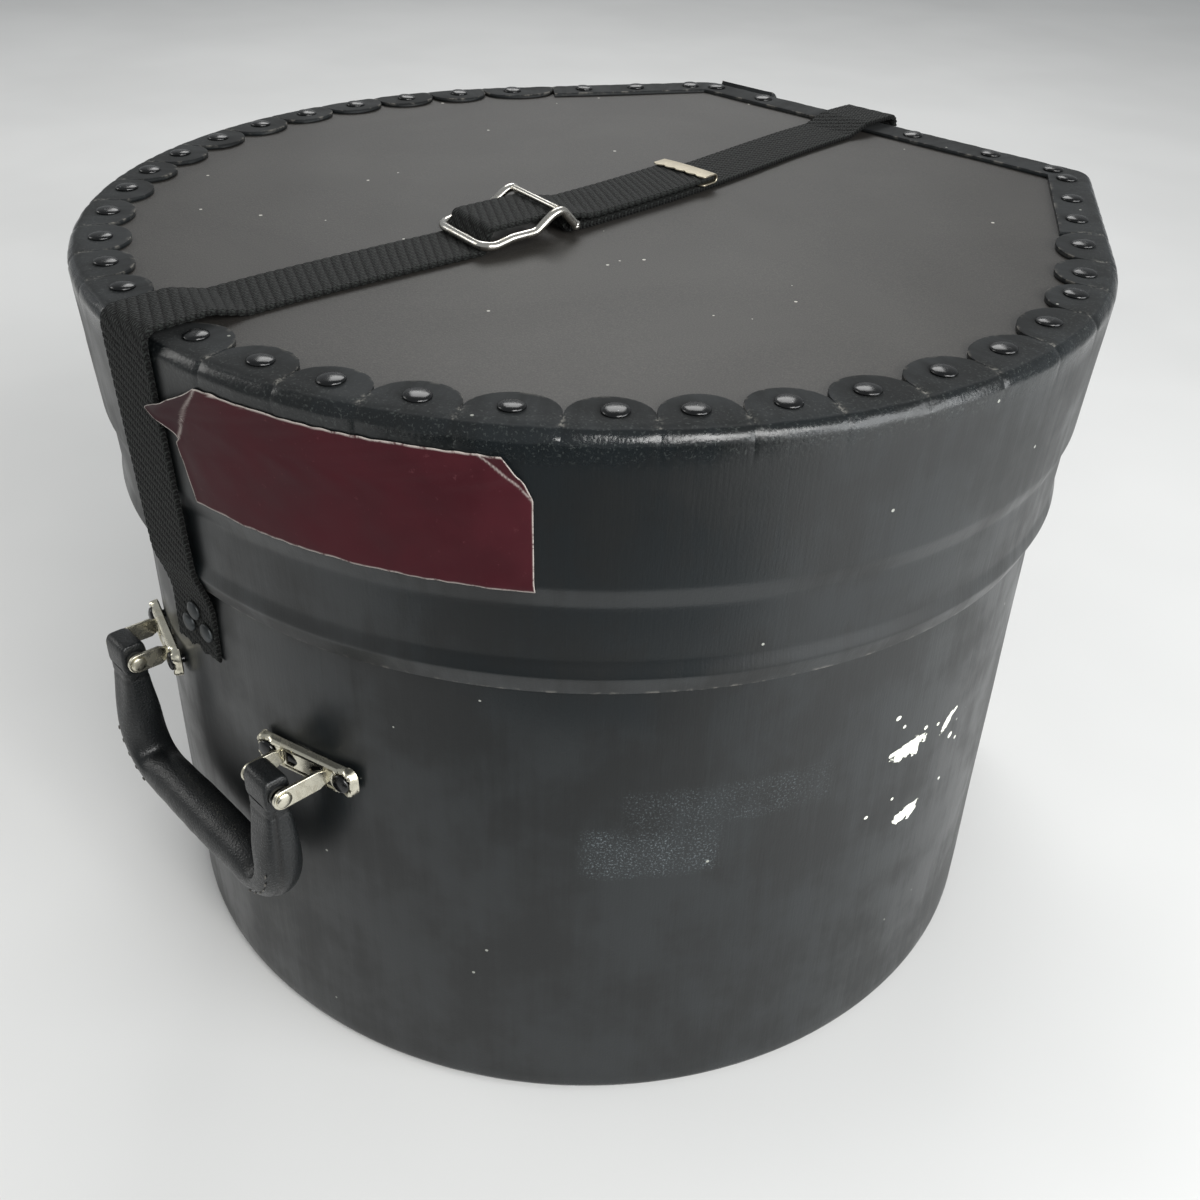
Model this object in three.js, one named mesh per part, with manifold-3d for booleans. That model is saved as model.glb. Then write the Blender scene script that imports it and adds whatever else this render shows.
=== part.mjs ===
// A round drum case of vulcanised fibre with one flat side. The lid lifts off a straight
// walled case, a webbing strap runs over the lid to a wire buckle, and a handle hangs on
// two stamped plates. Millimetres, +Z up. The handle is at -Y and the flat side at +Y.

import * as THREE from 'three';
import { mergeGeometries, mergeVertices } from 'three/addons/utils/BufferGeometryUtils.js';
import Module from 'manifold-3d';

const wasm = await Module();
wasm.setup();

// Fits
const FIT_GAP = 0.3; // between pieces that rest on each other
const RUNNING_GAP = 0.5; // round pieces that turn
const LIP_CLEARANCE = 0.8; // between the lid's lip and the case wall
const CUT_OVERRUN = 2; // how far every cutter passes the faces that it cuts

// Fibre sheet and panels
const SHEET = 1.6;
const PANEL = 2;
const CASE_HEIGHT = 273.5; // floor to the top of the lid's folded tabs
const CASE_RADIUS = 171.6; // outside of the case's straight wall
const FLAT_HALF_WIDTH = 99.5; // half of the lid's flat side, corner to corner
const CORNER_ROUND = 5;
const RIM_ROUND = 5; // rolled edge of the lid's top
const FOOT_ROUND = 4; // rolled edge of the case's bottom
const ARC_STEPS = 40; // facets of the round side
const ROUND_STEPS = 3; // facets of a rolled edge

// Pressed bands of the lid wall, from the open edge up
const LID_DEPTH = 87.8;
const LIP_HEIGHT = 6.8;
const LIP_TURN_IN = 2.6;
const BEAD_HEIGHT = 5.5;
const BEAD_RISE = 1;
const LOWER_BAND_HEIGHT = 19.5;
const LOWER_BAND_TAPER = 0.8;
const STEP_HEIGHT = 6.5;
const STEP_RISE = 2;
const MAIN_BAND_TAPER = 2.6;

// Tabs that are cut in the wall's edge and folded onto a panel
const TAB_ANGLES = [
  -212, -203.5, -195, -186.5, -178, -169.5, -161, -152.5, -144.5, -137, -128, -119, -110.5, -102.5,
  -94.5, -86.5, -77.5, -69.5, -61, -52.5, -43.5, -36.5, -28, -20, -11, -2, 7.5, 17, 24, 34,
]; // degrees, where each scalloped tab has its rivet
const TAB_END_ANGLE = 38.5; // where the scallops end and the straight tab begins
const TAB_STEPS = 5; // facets of a scallop
const TAB_ROOT_INSET = 8.5; // wall face to the notch between two tabs
const TAB_DEPTH = 12; // notch to the tip of a tab
const STRAIGHT_TAB_INSET = 18; // wall face to the edge of a straight tab
const RIVET_INSET = 11.2; // wall face to the line of rivets
const FLAT_RIVET_SHARES = [-0.885, -0.6, -0.22, 0.22, 0.6, 0.885]; // of the flat's half width
const CORNER_RIVET_SHARES = [0.33, 0.58, 0.85]; // along the straight run to the corner

// Rivets
const RIVET_SIDES = 6;
const DOME_SHARE = 0.72; // where a rivet's dome bends, out and up
const RIVET_HEAD_RADIUS = 4.8;
const RIVET_HEAD_HEIGHT = 1.8;
const RIVET_SHANK_RADIUS = 1.6;
const RIVET_CLINCH_RADIUS = 2.6;
const RIVET_CLINCH_HEIGHT = 1;
const WASHER_RADIUS = 3.6;
const WASHER_THICKNESS = 0.8;

// Lapped seam of each wall sheet, on the flat side
const LAP_WIDTH = 30;
const LAP_CORNER_INSET = 8; // from the corner to the lap's edge
const LID_SEAM_SHARES = [0.2, 0.55, 0.85]; // of the lid's depth, up from its edge
const CASE_SEAM_SHARES = [0.12, 0.37, 0.62, 0.87]; // of the case wall below the lid

// Webbing strap
const STRAP_WIDTH = 25;
const STRAP_THICKNESS = 1.8;
const STRAP_OFFSET = -7; // middle of the strap at the lid's rim
const STRAP_BOW = 9; // how far the strap stands sideways of a straight line at mid lid
const BOW_REACH = 150; // from the middle of the lid to where that bow has died out
const SWAY_STEPS = 8; // facets of each level run that follows the bow
const SAG_RUN = 12; // from the tabs to where the strap lies on the panel
const STRAP_LEAN = -5; // how far the front drop leans sideways by its end
const STRAP_CORNER_ROUND = 4;
const STRAP_BEND_STEPS = 4;
const MITRE_SHARE = 0.5; // least cosine that a bend's mitre is worked out with
const ANCHOR_LENGTH = 19.5; // stretch that lies against the case wall
const ANCHOR_BELOW_LID = 9; // lid edge to the top of that stretch
const ANCHOR_RIVET_RADIUS = 3.4;
const ANCHOR_RIVET_HEIGHT = 1.6;
const ANCHOR_ACROSS_SHARES = [-0.09, 0.085, 0.335]; // of the strap's width
const ANCHOR_UP_SHARES = [0.46, 0.8, 0.5]; // of the anchored stretch
const LOOP_RUN = 10; // from the end bar to where a strap of the loop lies flat again
const FREE_END_LENGTH = 75.8; // from the buckle's end bar to the clamped tip
const TAIL_LENGTH = 3; // cut end of the front strap, past the cross bar
const TIP_LENGTH = 9;
const TIP_SHEET = 0.6;

// Wire buckle
const BUCKLE_WIRE_RADIUS = 1.5;
const BUCKLE_BAR_RADIUS = 1.1;
const BUCKLE_WIDTH = 33; // outside of its side arms
const BUCKLE_CORNER = 5;
const CORNER_CUT_SHARE = 0.3; // how far a round corner's middle stands in from its square one
const BUCKLE_STEPS = 44;
const BUCKLE_FRONT = -63; // its front bar, from the middle of the case
const BUCKLE_LENGTH = 39; // front bar to end bar
const BUCKLE_SKEW = -10.5; // degrees, how far the buckle is turned on the lid
const SKEW_REACH = 90; // from the middle of the buckle to where that turn has died out
const BUCKLE_HUMP_RISE = 6.5; // crest of a side arm over the front bar
const BUCKLE_TROUGH_RISE = 1.2;
const WEAVE_SLOPE_SHARE = 1.6; // run of the strap's rise to the cross bar, of its height
const BUCKLE_ARM_SHARES = [0.3, 0.55, 0.82]; // trough start, trough end and crest, of the length
const WIRE_SIDES = 6;

// Handle
const HANDLE_ANGLE = -92.5; // degrees, middle of the handle on the case wall
const HANDLE_BELOW_LID = 51; // lid edge to the pins
const PIN_STANDOFF = 10.4; // case wall to the pins
const LEG_SPACING = 95.2;
const GRIP_RADIUS = 8;
const GRIP_DROP = 47; // pins to the middle of the grip
const GRIP_BEND = 16;
const GRIP_SIDES = 10;
const EYE_RADIUS = 8.6;
const EYE_WIDTH = 14;
const PIN_RADIUS = 1.9;
const PIN_HEAD_RADIUS = 2.8;
const PIN_HEAD_HEIGHT = 1;
const BUSH_WALL = 0.8;
const NECK_SHARE = 0.95; // of the grip's radius, from the pins down to where the round leg begins
const GRIP_STEPS = 24;
const EYE_SIDES = 16;
const PIN_SIDES = 10;

// Stamped plates that carry the handle
const PLATE_LENGTH = 40.5;
const PLATE_HEIGHT = 9.4;
const PLATE_DEPTH = 2.6;
const PLATE_SHEET = 1;
const PLATE_RIVET_SPACING = 31.4;
const PLATE_RIVET_RADIUS = 3.4;
const EAR_SPACING = 18; // between the middles of the two ears
const EAR_SPLAY = 0.4; // how far each pin lies outside the middle of its plate
const EAR_THICKNESS = 1.3;
const EAR_WIDTH = 7.4;
const WINDOW_WIDTH = 5;
const WINDOW_HEIGHT = 5.4;

// Paper label, left bare
const LABEL_THICKNESS = 0.4;
const LABEL_HEIGHT = 40.5;
const LABEL_START_ANGLE = -87.8;
const LABEL_END_ANGLE = -50.7;

// Worked out from the sizes above
const lidEdgeZ = CASE_HEIGHT - LID_DEPTH;
const beadZ = lidEdgeZ + LIP_HEIGHT;
const lowerBandZ = beadZ + BEAD_HEIGHT;
const stepZ = lowerBandZ + LOWER_BAND_HEIGHT;
const mainBandZ = stepZ + STEP_HEIGHT;
const lipRadius = CASE_RADIUS + LIP_CLEARANCE + SHEET;
const beadRadius = lipRadius + LIP_TURN_IN;
const lowerBandRadius = beadRadius - BEAD_RISE;
const stepRadius = lowerBandRadius + LOWER_BAND_TAPER;
const mainBandRadius = stepRadius + STEP_RISE;
const lidRadius = mainBandRadius + MAIN_BAND_TAPER;
const clinchZ = CASE_HEIGHT - SHEET - PANEL - RIVET_CLINCH_HEIGHT;
const caseTopZ = clinchZ - FIT_GAP;
const rivetHoleRadius = RIVET_SHANK_RADIUS + FIT_GAP;
const strapUnderZ = CASE_HEIGHT + RIVET_HEAD_HEIGHT + FIT_GAP;
const halfStrap = STRAP_THICKNESS / 2;
const strapMidZ = strapUnderZ + halfStrap; // over the rim's rivets
const strapLowZ = CASE_HEIGHT - SHEET + FIT_GAP + halfStrap; // on the panel
const anchorTopZ = lidEdgeZ - ANCHOR_BELOW_LID;
const anchorLowZ = anchorTopZ - ANCHOR_LENGTH;
const pinZ = lidEdgeZ - HANDLE_BELOW_LID;
const pinOut = CASE_RADIUS + PIN_STANDOFF;
const handleTurn = THREE.MathUtils.degToRad(HANDLE_ANGLE + 90);
const eaveZ = CASE_HEIGHT - RIM_ROUND; // where the rolled rim starts
const lidPanelRadius = lidRadius - RIM_ROUND - FIT_GAP;
const bottomPanelRadius = CASE_RADIUS - FOOT_ROUND - FIT_GAP;
const bucklePlaneZ = strapLowZ + halfStrap + FIT_GAP + BUCKLE_WIRE_RADIUS;

// Reach of the turned handle at the front and of the seam's rivets at the back. The frame's
// origin lies midway between them.
const legX = (side) => (side * LEG_SPACING) / 2;
const frontReach = (pinOut + EYE_RADIUS) * Math.cos(handleTurn)
  + (legX(1) + EYE_WIDTH / 2) * Math.abs(Math.sin(handleTurn));
const backReach = lidRadius + SHEET + FIT_GAP + RIVET_HEAD_HEIGHT;
const originShift = (frontReach - backReach) / 2;

const finish = (color, roughness, metalness = 0) =>
  new THREE.MeshStandardMaterial({ color, roughness, metalness });
const finishes = {
  fibre: finish('#26292a', 0.5),
  panel: finish('#3a3836', 0.55),
  rivet: finish('#17181a', 0.35, 0.3),
  webbing: finish('#1b1d1d', 0.9),
  anchorRivet: finish('#55585a', 0.45, 0.4),
  chrome: finish('#d8d4c8', 0.15, 1),
  brassPlate: finish('#b9ad8a', 0.3, 1),
  leather: finish('#1c1e1f', 0.45),
  label: finish('#4a1c2e', 0.4),
  steel: finish('#8c8d8c', 0.4, 1),
};

// Solids

/** Merges a geometry's shared corners, so that only positions are left. */
function bare(geometry) {
  const copy = geometry.clone();
  copy.deleteAttribute('normal');
  copy.deleteAttribute('uv');
  return mergeVertices(copy);
}

/** Makes a manifold solid of a closed geometry. */
function solidOf(geometry) {
  const merged = bare(geometry);
  return new wasm.Manifold(new wasm.Mesh({
    numProp: 3,
    vertProperties: merged.attributes.position.array,
    triVerts: new Uint32Array(merged.index.array),
  }));
}

/** Turns a manifold solid back into a geometry. */
function geometryOf(solid) {
  const mesh = solid.getMesh();
  const geometry = new THREE.BufferGeometry();
  geometry.setAttribute('position', new THREE.BufferAttribute(mesh.vertProperties, 3));
  geometry.setIndex(new THREE.BufferAttribute(mesh.triVerts, 1));
  return geometry;
}

/** Several closed geometries that do not touch, as one. */
function group(geometries) {
  return mergeGeometries(geometries.map(bare));
}

// Plan of the case: a circle, a flat side that touches it, and straight runs to two corners

const halfShare = FLAT_HALF_WIDTH / lidRadius;
const runAngle = Math.PI / 2 - 2 * Math.atan(halfShare);

/** Direction from the middle of the case at an angle in radians. A straight run is as long
 * as half of the flat side, because both touch the same circle from the same corner. */
function direction(angle) {
  return new THREE.Vector2(Math.cos(angle), Math.sin(angle));
}

/** How far the outline lies at an angle, as a share of the radius. */
function planShare(angle) {
  const a = Math.atan2(Math.sin(angle), Math.cos(angle));
  const cornerAngle = Math.atan2(1, halfShare);
  const folded = a > Math.PI / 2 ? Math.PI - a : a;
  if (folded > cornerAngle) return 1 / Math.sin(folded);
  if (folded > runAngle) return 1 / Math.cos(folded - runAngle);
  return 1;
}

/** The outline's points as shares of its radius, anticlockwise from the right hand run. */
function planShares() {
  const right = [];
  const run = direction(runAngle);
  right.push(run);
  const corner = new THREE.Vector2(halfShare, 1);
  const roundShare = CORNER_ROUND / lidRadius;
  const back = corner.clone().sub(run).normalize();
  const start = corner.clone().addScaledVector(back, -roundShare);
  const end = corner.clone().add(new THREE.Vector2(-roundShare, 0));
  const bend = new THREE.QuadraticBezierCurve(start, corner, end);
  right.push(...bend.getPoints(ROUND_STEPS));
  const left = right.map((p) => new THREE.Vector2(-p.x, p.y)).reverse();
  const points = [...right, ...left];
  const sweep = Math.PI + 2 * runAngle;
  for (let i = 1; i < ARC_STEPS; i += 1) {
    points.push(direction(Math.PI - runAngle + (sweep * i) / ARC_STEPS));
  }
  return points;
}

const unitPlan = planShares();

/** The outline at a radius. */
function plan(radius) {
  return unitPlan.map((p) => p.clone().multiplyScalar(radius));
}

/** A wall that follows the plan. Its closed section is given as points of radius and height. */
function wallOnPlan(section) {
  const count = section.length;
  const geometry = new THREE.LatheGeometry([...section, section[0]], unitPlan.length);
  const position = geometry.attributes.position;
  for (let i = 0; i < position.count; i += 1) {
    const ray = unitPlan[Math.floor(i / (count + 1)) % unitPlan.length];
    const point = section[(i % (count + 1)) % count];
    position.setXYZ(i, ray.x * point.x, ray.y * point.x, point.y);
  }
  return geometry;
}

/** A flat plate between two heights, with holes. */
function plate(outline, holes, lowZ, thickness) {
  const shape = new THREE.Shape(outline);
  shape.holes = holes.map((points) => new THREE.Path(points));
  const geometry = new THREE.ExtrudeGeometry(shape, { depth: thickness, bevelEnabled: false });
  return geometry.translate(0, 0, lowZ);
}

/** A box about a middle point. */
function box(x, y, z, width, depth, height) {
  return new THREE.BoxGeometry(width, depth, height).translate(x, y, z);
}

/** A round bar along X. */
function barAlongX(radius, length, sides) {
  return new THREE.CylinderGeometry(radius, radius, length, sides).rotateZ(Math.PI / 2);
}

/** A turned piece on the Z axis, from points of radius and height. */
function turned(points, sides) {
  const section = points.map(([r, z]) => new THREE.Vector2(r, z));
  return new THREE.LatheGeometry(section, sides).rotateX(Math.PI / 2);
}

// Rivets

/** A domed rivet. Its head sits at zero height and its shank runs down through the grip. */
function rivet(grip, headRadius, headHeight, clinchHeight = RIVET_CLINCH_HEIGHT) {
  const points = [
    [0, -grip - clinchHeight],
    [RIVET_CLINCH_RADIUS, -grip - clinchHeight],
    [RIVET_CLINCH_RADIUS, -grip],
    [RIVET_SHANK_RADIUS, -grip],
    [RIVET_SHANK_RADIUS, 0],
    [headRadius, 0],
    [headRadius * DOME_SHARE, headHeight * DOME_SHARE],
    [0, headHeight],
  ];
  return turned(points, RIVET_SIDES);
}

/** A rivet whose far end is set flush, as in the case's bottom. */
function flushRivet(grip, headRadius, headHeight) {
  const points = [
    [0, -grip],
    [RIVET_SHANK_RADIUS, -grip],
    [RIVET_SHANK_RADIUS, 0],
    [headRadius, 0],
    [headRadius * DOME_SHARE, headHeight * DOME_SHARE],
    [0, headHeight],
  ];
  return turned(points, RIVET_SIDES);
}

/** A flat ring on the Z axis that rests on zero height. */
function washer(innerRadius, outerRadius, thickness) {
  const points = [
    [innerRadius, 0],
    [outerRadius, 0],
    [outerRadius, thickness],
    [innerRadius, thickness],
    [innerRadius, 0],
  ];
  return turned(points, RIVET_SIDES);
}

/** A rivet's hole through a plate, as an outline that matches the shank's facets. */
function rivetHole(centre) {
  const points = [];
  for (let i = 0; i < RIVET_SIDES; i += 1) {
    const turn = Math.PI / 2 + (2 * Math.PI * i) / RIVET_SIDES;
    points.push(centre.clone().addScaledVector(direction(turn), rivetHoleRadius));
  }
  return points;
}

/** A cutter on the Z axis for a hole of a shank's size. */
function holeCutter(radius, depth) {
  const height = depth + 2 * CUT_OVERRUN;
  return new THREE.CylinderGeometry(radius, radius, height, RIVET_SIDES).rotateX(Math.PI / 2);
}

/** Turns a piece on the Z axis so that it stands out of the wall at an angle. */
function outward(geometry, angle, distance, z, across = 0) {
  const tilted = geometry.clone().rotateY(Math.PI / 2).rotateZ(angle);
  const out = direction(angle).multiplyScalar(distance);
  const side = direction(angle + Math.PI / 2).multiplyScalar(across);
  return tilted.translate(out.x + side.x, out.y + side.y, z);
}

/** Rivet places round an outline of a radius, in three lists. */
function tabRivetPlaces(radius) {
  const inner = radius - RIVET_INSET;
  const scallops = TAB_ANGLES.map((degrees) => {
    const angle = THREE.MathUtils.degToRad(degrees);
    return direction(angle).multiplyScalar(inner * planShare(angle));
  });
  const flat = FLAT_RIVET_SHARES.map((s) => new THREE.Vector2(s * halfShare * radius, inner));
  const run = direction(runAngle);
  const along = direction(runAngle + Math.PI / 2);
  const right = CORNER_RIVET_SHARES.map((s) =>
    run.clone().multiplyScalar(inner).addScaledVector(along, s * halfShare * radius));
  const left = right.map((p) => new THREE.Vector2(-p.x, p.y));
  return { scallops, flat, corners: [...right, ...left] };
}

// Folded tabs

/** Inner edge of the folded tabs round a wall of a radius, anticlockwise. */
function tabEdge(radius) {
  const rad = THREE.MathUtils.degToRad;
  const last = TAB_ANGLES.length - 1;
  const points = [];
  TAB_ANGLES.forEach((degrees, i) => {
    const low = i === 0 ? -180 - TAB_END_ANGLE : (TAB_ANGLES[i - 1] + degrees) / 2;
    const high = i === last ? TAB_END_ANGLE : (TAB_ANGLES[i + 1] + degrees) / 2;
    for (let k = 0; k < TAB_STEPS; k += 1) {
      const phase = (Math.PI * k) / TAB_STEPS;
      const angle = rad((low + high) / 2 - ((high - low) / 2) * Math.cos(phase));
      const reach = radius - TAB_ROOT_INSET - TAB_DEPTH * Math.sin(phase);
      points.push(direction(angle).multiplyScalar(reach * planShare(angle)));
    }
  });
  const end = rad(TAB_END_ANGLE);
  const inner = radius - STRAIGHT_TAB_INSET;
  const right = [
    direction(end).multiplyScalar((radius - TAB_ROOT_INSET) * planShare(end)),
    direction(end).multiplyScalar(inner * planShare(end)),
    new THREE.Vector2(halfShare * inner, inner),
  ];
  const left = right.map((p) => new THREE.Vector2(-p.x, p.y)).reverse();
  return [...points, ...right, ...left.slice(0, -1)];
}

/** The ring of folded tabs, with its rivet holes. */
function tabRing(radius, outerRadius, lowZ) {
  const places = tabRivetPlaces(radius);
  const holes = [...places.scallops, ...places.flat, ...places.corners].map(rivetHole);
  return plate(plan(outerRadius), [tabEdge(radius), ...holes], lowZ, SHEET);
}

/** A round of a section, from one angle to another, as points of radius and height. */
function roundOf(centreRadius, centreZ, radius, from, to) {
  const points = [];
  for (let i = 0; i <= ROUND_STEPS; i += 1) {
    const angle = from + ((to - from) * i) / ROUND_STEPS;
    points.push(new THREE.Vector2(
      centreRadius + radius * Math.cos(angle), centreZ + radius * Math.sin(angle)));
  }
  return points;
}

// Lid

/** Outside of the lid's wall from its edge to the eave, as points of radius and height. */
function lidBands(offset) {
  return [
    [lipRadius, lidEdgeZ],
    [beadRadius, beadZ],
    [lowerBandRadius, lowerBandZ],
    [stepRadius, stepZ],
    [mainBandRadius, mainBandZ],
    [lidRadius, eaveZ],
  ].map(([r, z]) => new THREE.Vector2(r + offset, z));
}

/** Radius of the lid's outside at a height. */
function lidRadiusAt(z) {
  const bands = lidBands(0);
  const next = bands.findIndex((p) => p.y >= z);
  if (next < 1) return next === 0 ? lipRadius : lidRadius;
  const low = bands[next - 1];
  const high = bands[next];
  return low.x + ((high.x - low.x) * (z - low.y)) / (high.y - low.y);
}

/** The slice of the wall sheet that laps the flat side, between two outlines. */
function lap(section, lowZ, highZ, side) {
  const corner = side * (FLAT_HALF_WIDTH - LAP_CORNER_INSET);
  const middle = corner - (side * LAP_WIDTH) / 2;
  const height = highZ - lowZ;
  const slice = box(middle, lidRadius, lowZ + height / 2, LAP_WIDTH, lidRadius, height);
  return solidOf(wallOnPlan(section)).intersect(solidOf(slice));
}

function lidWall() {
  const rimCentre = lidRadius - RIM_ROUND;
  const flangeRadius = rimCentre - CUT_OVERRUN;
  const outer = lidBands(0);
  const inner = lidBands(-SHEET).reverse();
  const rim = roundOf(rimCentre, eaveZ, RIM_ROUND, 0, Math.PI / 2).slice(1);
  const rimInside = roundOf(rimCentre, eaveZ, RIM_ROUND - SHEET, Math.PI / 2, 0).slice(0, -1);
  const flange = [
    new THREE.Vector2(flangeRadius, CASE_HEIGHT),
    new THREE.Vector2(flangeRadius, CASE_HEIGHT - SHEET),
  ];
  const section = [...outer, ...rim, ...flange, ...rimInside, ...inner];
  const lapSection = [...lidBands(SHEET), ...lidBands(-SHEET / 2).reverse()];
  const tabs = tabRing(lidRadius, rimCentre, CASE_HEIGHT - SHEET);
  return solidOf(wallOnPlan(section))
    .add(solidOf(tabs))
    .add(lap(lapSection, lidEdgeZ, eaveZ, -1))
    .subtract(solidOf(group(seamRivetPlaces().lid.map(seamHole))));
}

/** A panel with the rivets that are set in it and reach through the tabs of a wall's radius. */
function rivetedPanel(radius, wallRadius, lowZ, piece, headZ) {
  const places = tabRivetPlaces(wallRadius);
  const all = [...places.scallops, ...places.flat, ...places.corners];
  const rivets = all.map((p) => piece.clone().translate(p.x, p.y, headZ));
  return solidOf(plate(plan(radius), [], lowZ, PANEL)).add(solidOf(group(rivets)));
}

function lidPanel() {
  const piece = rivet(SHEET + PANEL, RIVET_HEAD_RADIUS, RIVET_HEAD_HEIGHT);
  return rivetedPanel(lidPanelRadius, lidRadius, CASE_HEIGHT - SHEET - PANEL, piece, CASE_HEIGHT);
}

/** Seam rivets on the flat side, as places across, out and up. */
function seamRivetPlaces() {
  const x = -(FLAT_HALF_WIDTH - LAP_CORNER_INSET - LAP_WIDTH / 2);
  const lid = LID_SEAM_SHARES.map((share) => {
    const z = lidEdgeZ + share * (eaveZ - lidEdgeZ);
    return { x, y: lidRadiusAt(z) + SHEET, z };
  });
  const below = CASE_SEAM_SHARES.map((share) => ({ x, y: CASE_RADIUS, z: share * lidEdgeZ }));
  return { lid, below };
}

const seamRivetAt = (place) => {
  const piece = flushRivet(2 * SHEET, RIVET_HEAD_RADIUS, RIVET_HEAD_HEIGHT);
  return piece.rotateX(-Math.PI / 2).translate(place.x, place.y + FIT_GAP, place.z);
};
const seamHole = (place) => {
  const cutter = holeCutter(rivetHoleRadius, 2 * SHEET).rotateX(Math.PI / 2);
  return cutter.translate(place.x, place.y - SHEET, place.z);
};

function lidLabel() {
  const highZ = mainBandZ + LABEL_HEIGHT;
  const near = FIT_GAP;
  const far = FIT_GAP + LABEL_THICKNESS;
  const section = [
    new THREE.Vector2(mainBandRadius + near, mainBandZ),
    new THREE.Vector2(mainBandRadius + far, mainBandZ),
    new THREE.Vector2(lidRadiusAt(highZ) + far, highZ),
    new THREE.Vector2(lidRadiusAt(highZ) + near, highZ),
  ];
  const from = THREE.MathUtils.degToRad(LABEL_START_ANGLE);
  const to = THREE.MathUtils.degToRad(LABEL_END_ANGLE);
  const reach = 2 * lidRadius;
  const wedge = [
    new THREE.Vector2(0, 0),
    direction(from).multiplyScalar(reach),
    direction(to).multiplyScalar(reach),
  ];
  const slice = plate(wedge, [], mainBandZ - CUT_OVERRUN, LABEL_HEIGHT + 2 * CUT_OVERRUN);
  return solidOf(wallOnPlan(section)).intersect(solidOf(slice));
}

// Case

function caseWall() {
  const footCentre = CASE_RADIUS - FOOT_ROUND;
  const flangeRadius = footCentre - CUT_OVERRUN;
  const foot = roundOf(footCentre, FOOT_ROUND, FOOT_ROUND, -Math.PI / 2, 0);
  const footInside = roundOf(footCentre, FOOT_ROUND, FOOT_ROUND - SHEET, 0, -Math.PI / 2);
  const section = [
    new THREE.Vector2(flangeRadius, 0),
    ...foot,
    new THREE.Vector2(CASE_RADIUS, caseTopZ),
    new THREE.Vector2(CASE_RADIUS - SHEET, caseTopZ),
    ...footInside,
    new THREE.Vector2(flangeRadius, SHEET),
  ];
  const lapLowZ = SHEET + PANEL + FOOT_ROUND;
  const lapSection = [
    new THREE.Vector2(CASE_RADIUS - 2 * SHEET, lapLowZ),
    new THREE.Vector2(CASE_RADIUS - SHEET / 2, lapLowZ),
    new THREE.Vector2(CASE_RADIUS - SHEET / 2, caseTopZ),
    new THREE.Vector2(CASE_RADIUS - 2 * SHEET, caseTopZ),
  ];
  const holes = [
    ...seamRivetPlaces().below.map(seamHole),
    ...allFasteners.map((f) => f.cutter),
  ];
  return solidOf(wallOnPlan(section))
    .add(solidOf(tabRing(CASE_RADIUS, footCentre, 0)))
    .add(lap(lapSection, lapLowZ, caseTopZ, -1))
    .subtract(solidOf(group(holes)));
}

function bottomPanel() {
  const piece = flushRivet(SHEET + PANEL - FIT_GAP, RIVET_HEAD_RADIUS, RIVET_HEAD_HEIGHT);
  return rivetedPanel(bottomPanelRadius, CASE_RADIUS, SHEET, piece, SHEET + PANEL);
}

// Strap

/** A ribbon's outline about its middle line, on both sides by half of its thickness. */
function ribbonOutline(route, thickness) {
  const near = [];
  const far = [];
  route.forEach((point, i) => {
    const before = route[Math.max(i - 1, 0)];
    const after = route[Math.min(i + 1, route.length - 1)];
    const first = point.clone().sub(before);
    const second = after.clone().sub(point);
    const a = (i === 0 ? second : first).normalize();
    const b = (i === route.length - 1 ? a.clone() : second).normalize();
    const across = new THREE.Vector2(-a.y - b.y, a.x + b.x).normalize();
    const mitre = thickness / 2 / Math.max(across.dot(new THREE.Vector2(-a.y, a.x)), MITRE_SHARE);
    near.push(point.clone().addScaledVector(across, mitre));
    far.push(point.clone().addScaledVector(across, -mitre));
  });
  return [...near, ...far.reverse()];
}

/** An outline of places on the Y and Z axes, as thick as a width about an X. */
function acrossX(outline, x, width) {
  const shape = new THREE.Shape(outline);
  const geometry = new THREE.ExtrudeGeometry(shape, { depth: width, bevelEnabled: false });
  geometry.rotateX(Math.PI / 2).rotateZ(Math.PI / 2);
  return geometry.translate(x - width / 2, 0, 0);
}

/** A strap along a route of places on the Y and Z axes, with its middle at an X. */
function strap(route, x) {
  return acrossX(ribbonOutline(route, STRAP_THICKNESS), x, STRAP_WIDTH);
}

/** Middle line of a drop from its end on the case to the lid's rim, as distances out and up. */
function dropRoute() {
  const lift = FIT_GAP + halfStrap;
  return [
    [CASE_RADIUS, anchorLowZ],
    [CASE_RADIUS, anchorTopZ],
    [lipRadius, lidEdgeZ],
    [beadRadius, beadZ],
    [lidRadius, eaveZ],
  ].map(([out, z]) => new THREE.Vector2(out + lift, z));
}

/** Middle line of the turn over the rim, from the end of a drop to the level over the lid. */
function rimRoute() {
  const out = lidRadius + FIT_GAP + halfStrap;
  const centreOut = out - STRAP_CORNER_ROUND;
  const centreZ = strapMidZ - STRAP_CORNER_ROUND;
  const points = [new THREE.Vector2(out, eaveZ + FIT_GAP)];
  for (let i = 0; i <= STRAP_BEND_STEPS; i += 1) {
    const angle = (Math.PI / 2) * (i / STRAP_BEND_STEPS);
    points.push(new THREE.Vector2(
      centreOut + STRAP_CORNER_ROUND * Math.cos(angle),
      centreZ + STRAP_CORNER_ROUND * Math.sin(angle)));
  }
  return points;
}

const toSide = (route, side) => route.map((p) => new THREE.Vector2(side * p.x, p.y));

/** A strap's way in from a rim: over the tabs and down onto the panel. */
function wayIn(side) {
  const tabs = lidRadius - TAB_ROOT_INSET - TAB_DEPTH;
  const down = [new THREE.Vector2(tabs, strapMidZ), new THREE.Vector2(tabs - SAG_RUN, strapLowZ)];
  return toSide([...rimRoute(), ...down], side);
}

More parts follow.
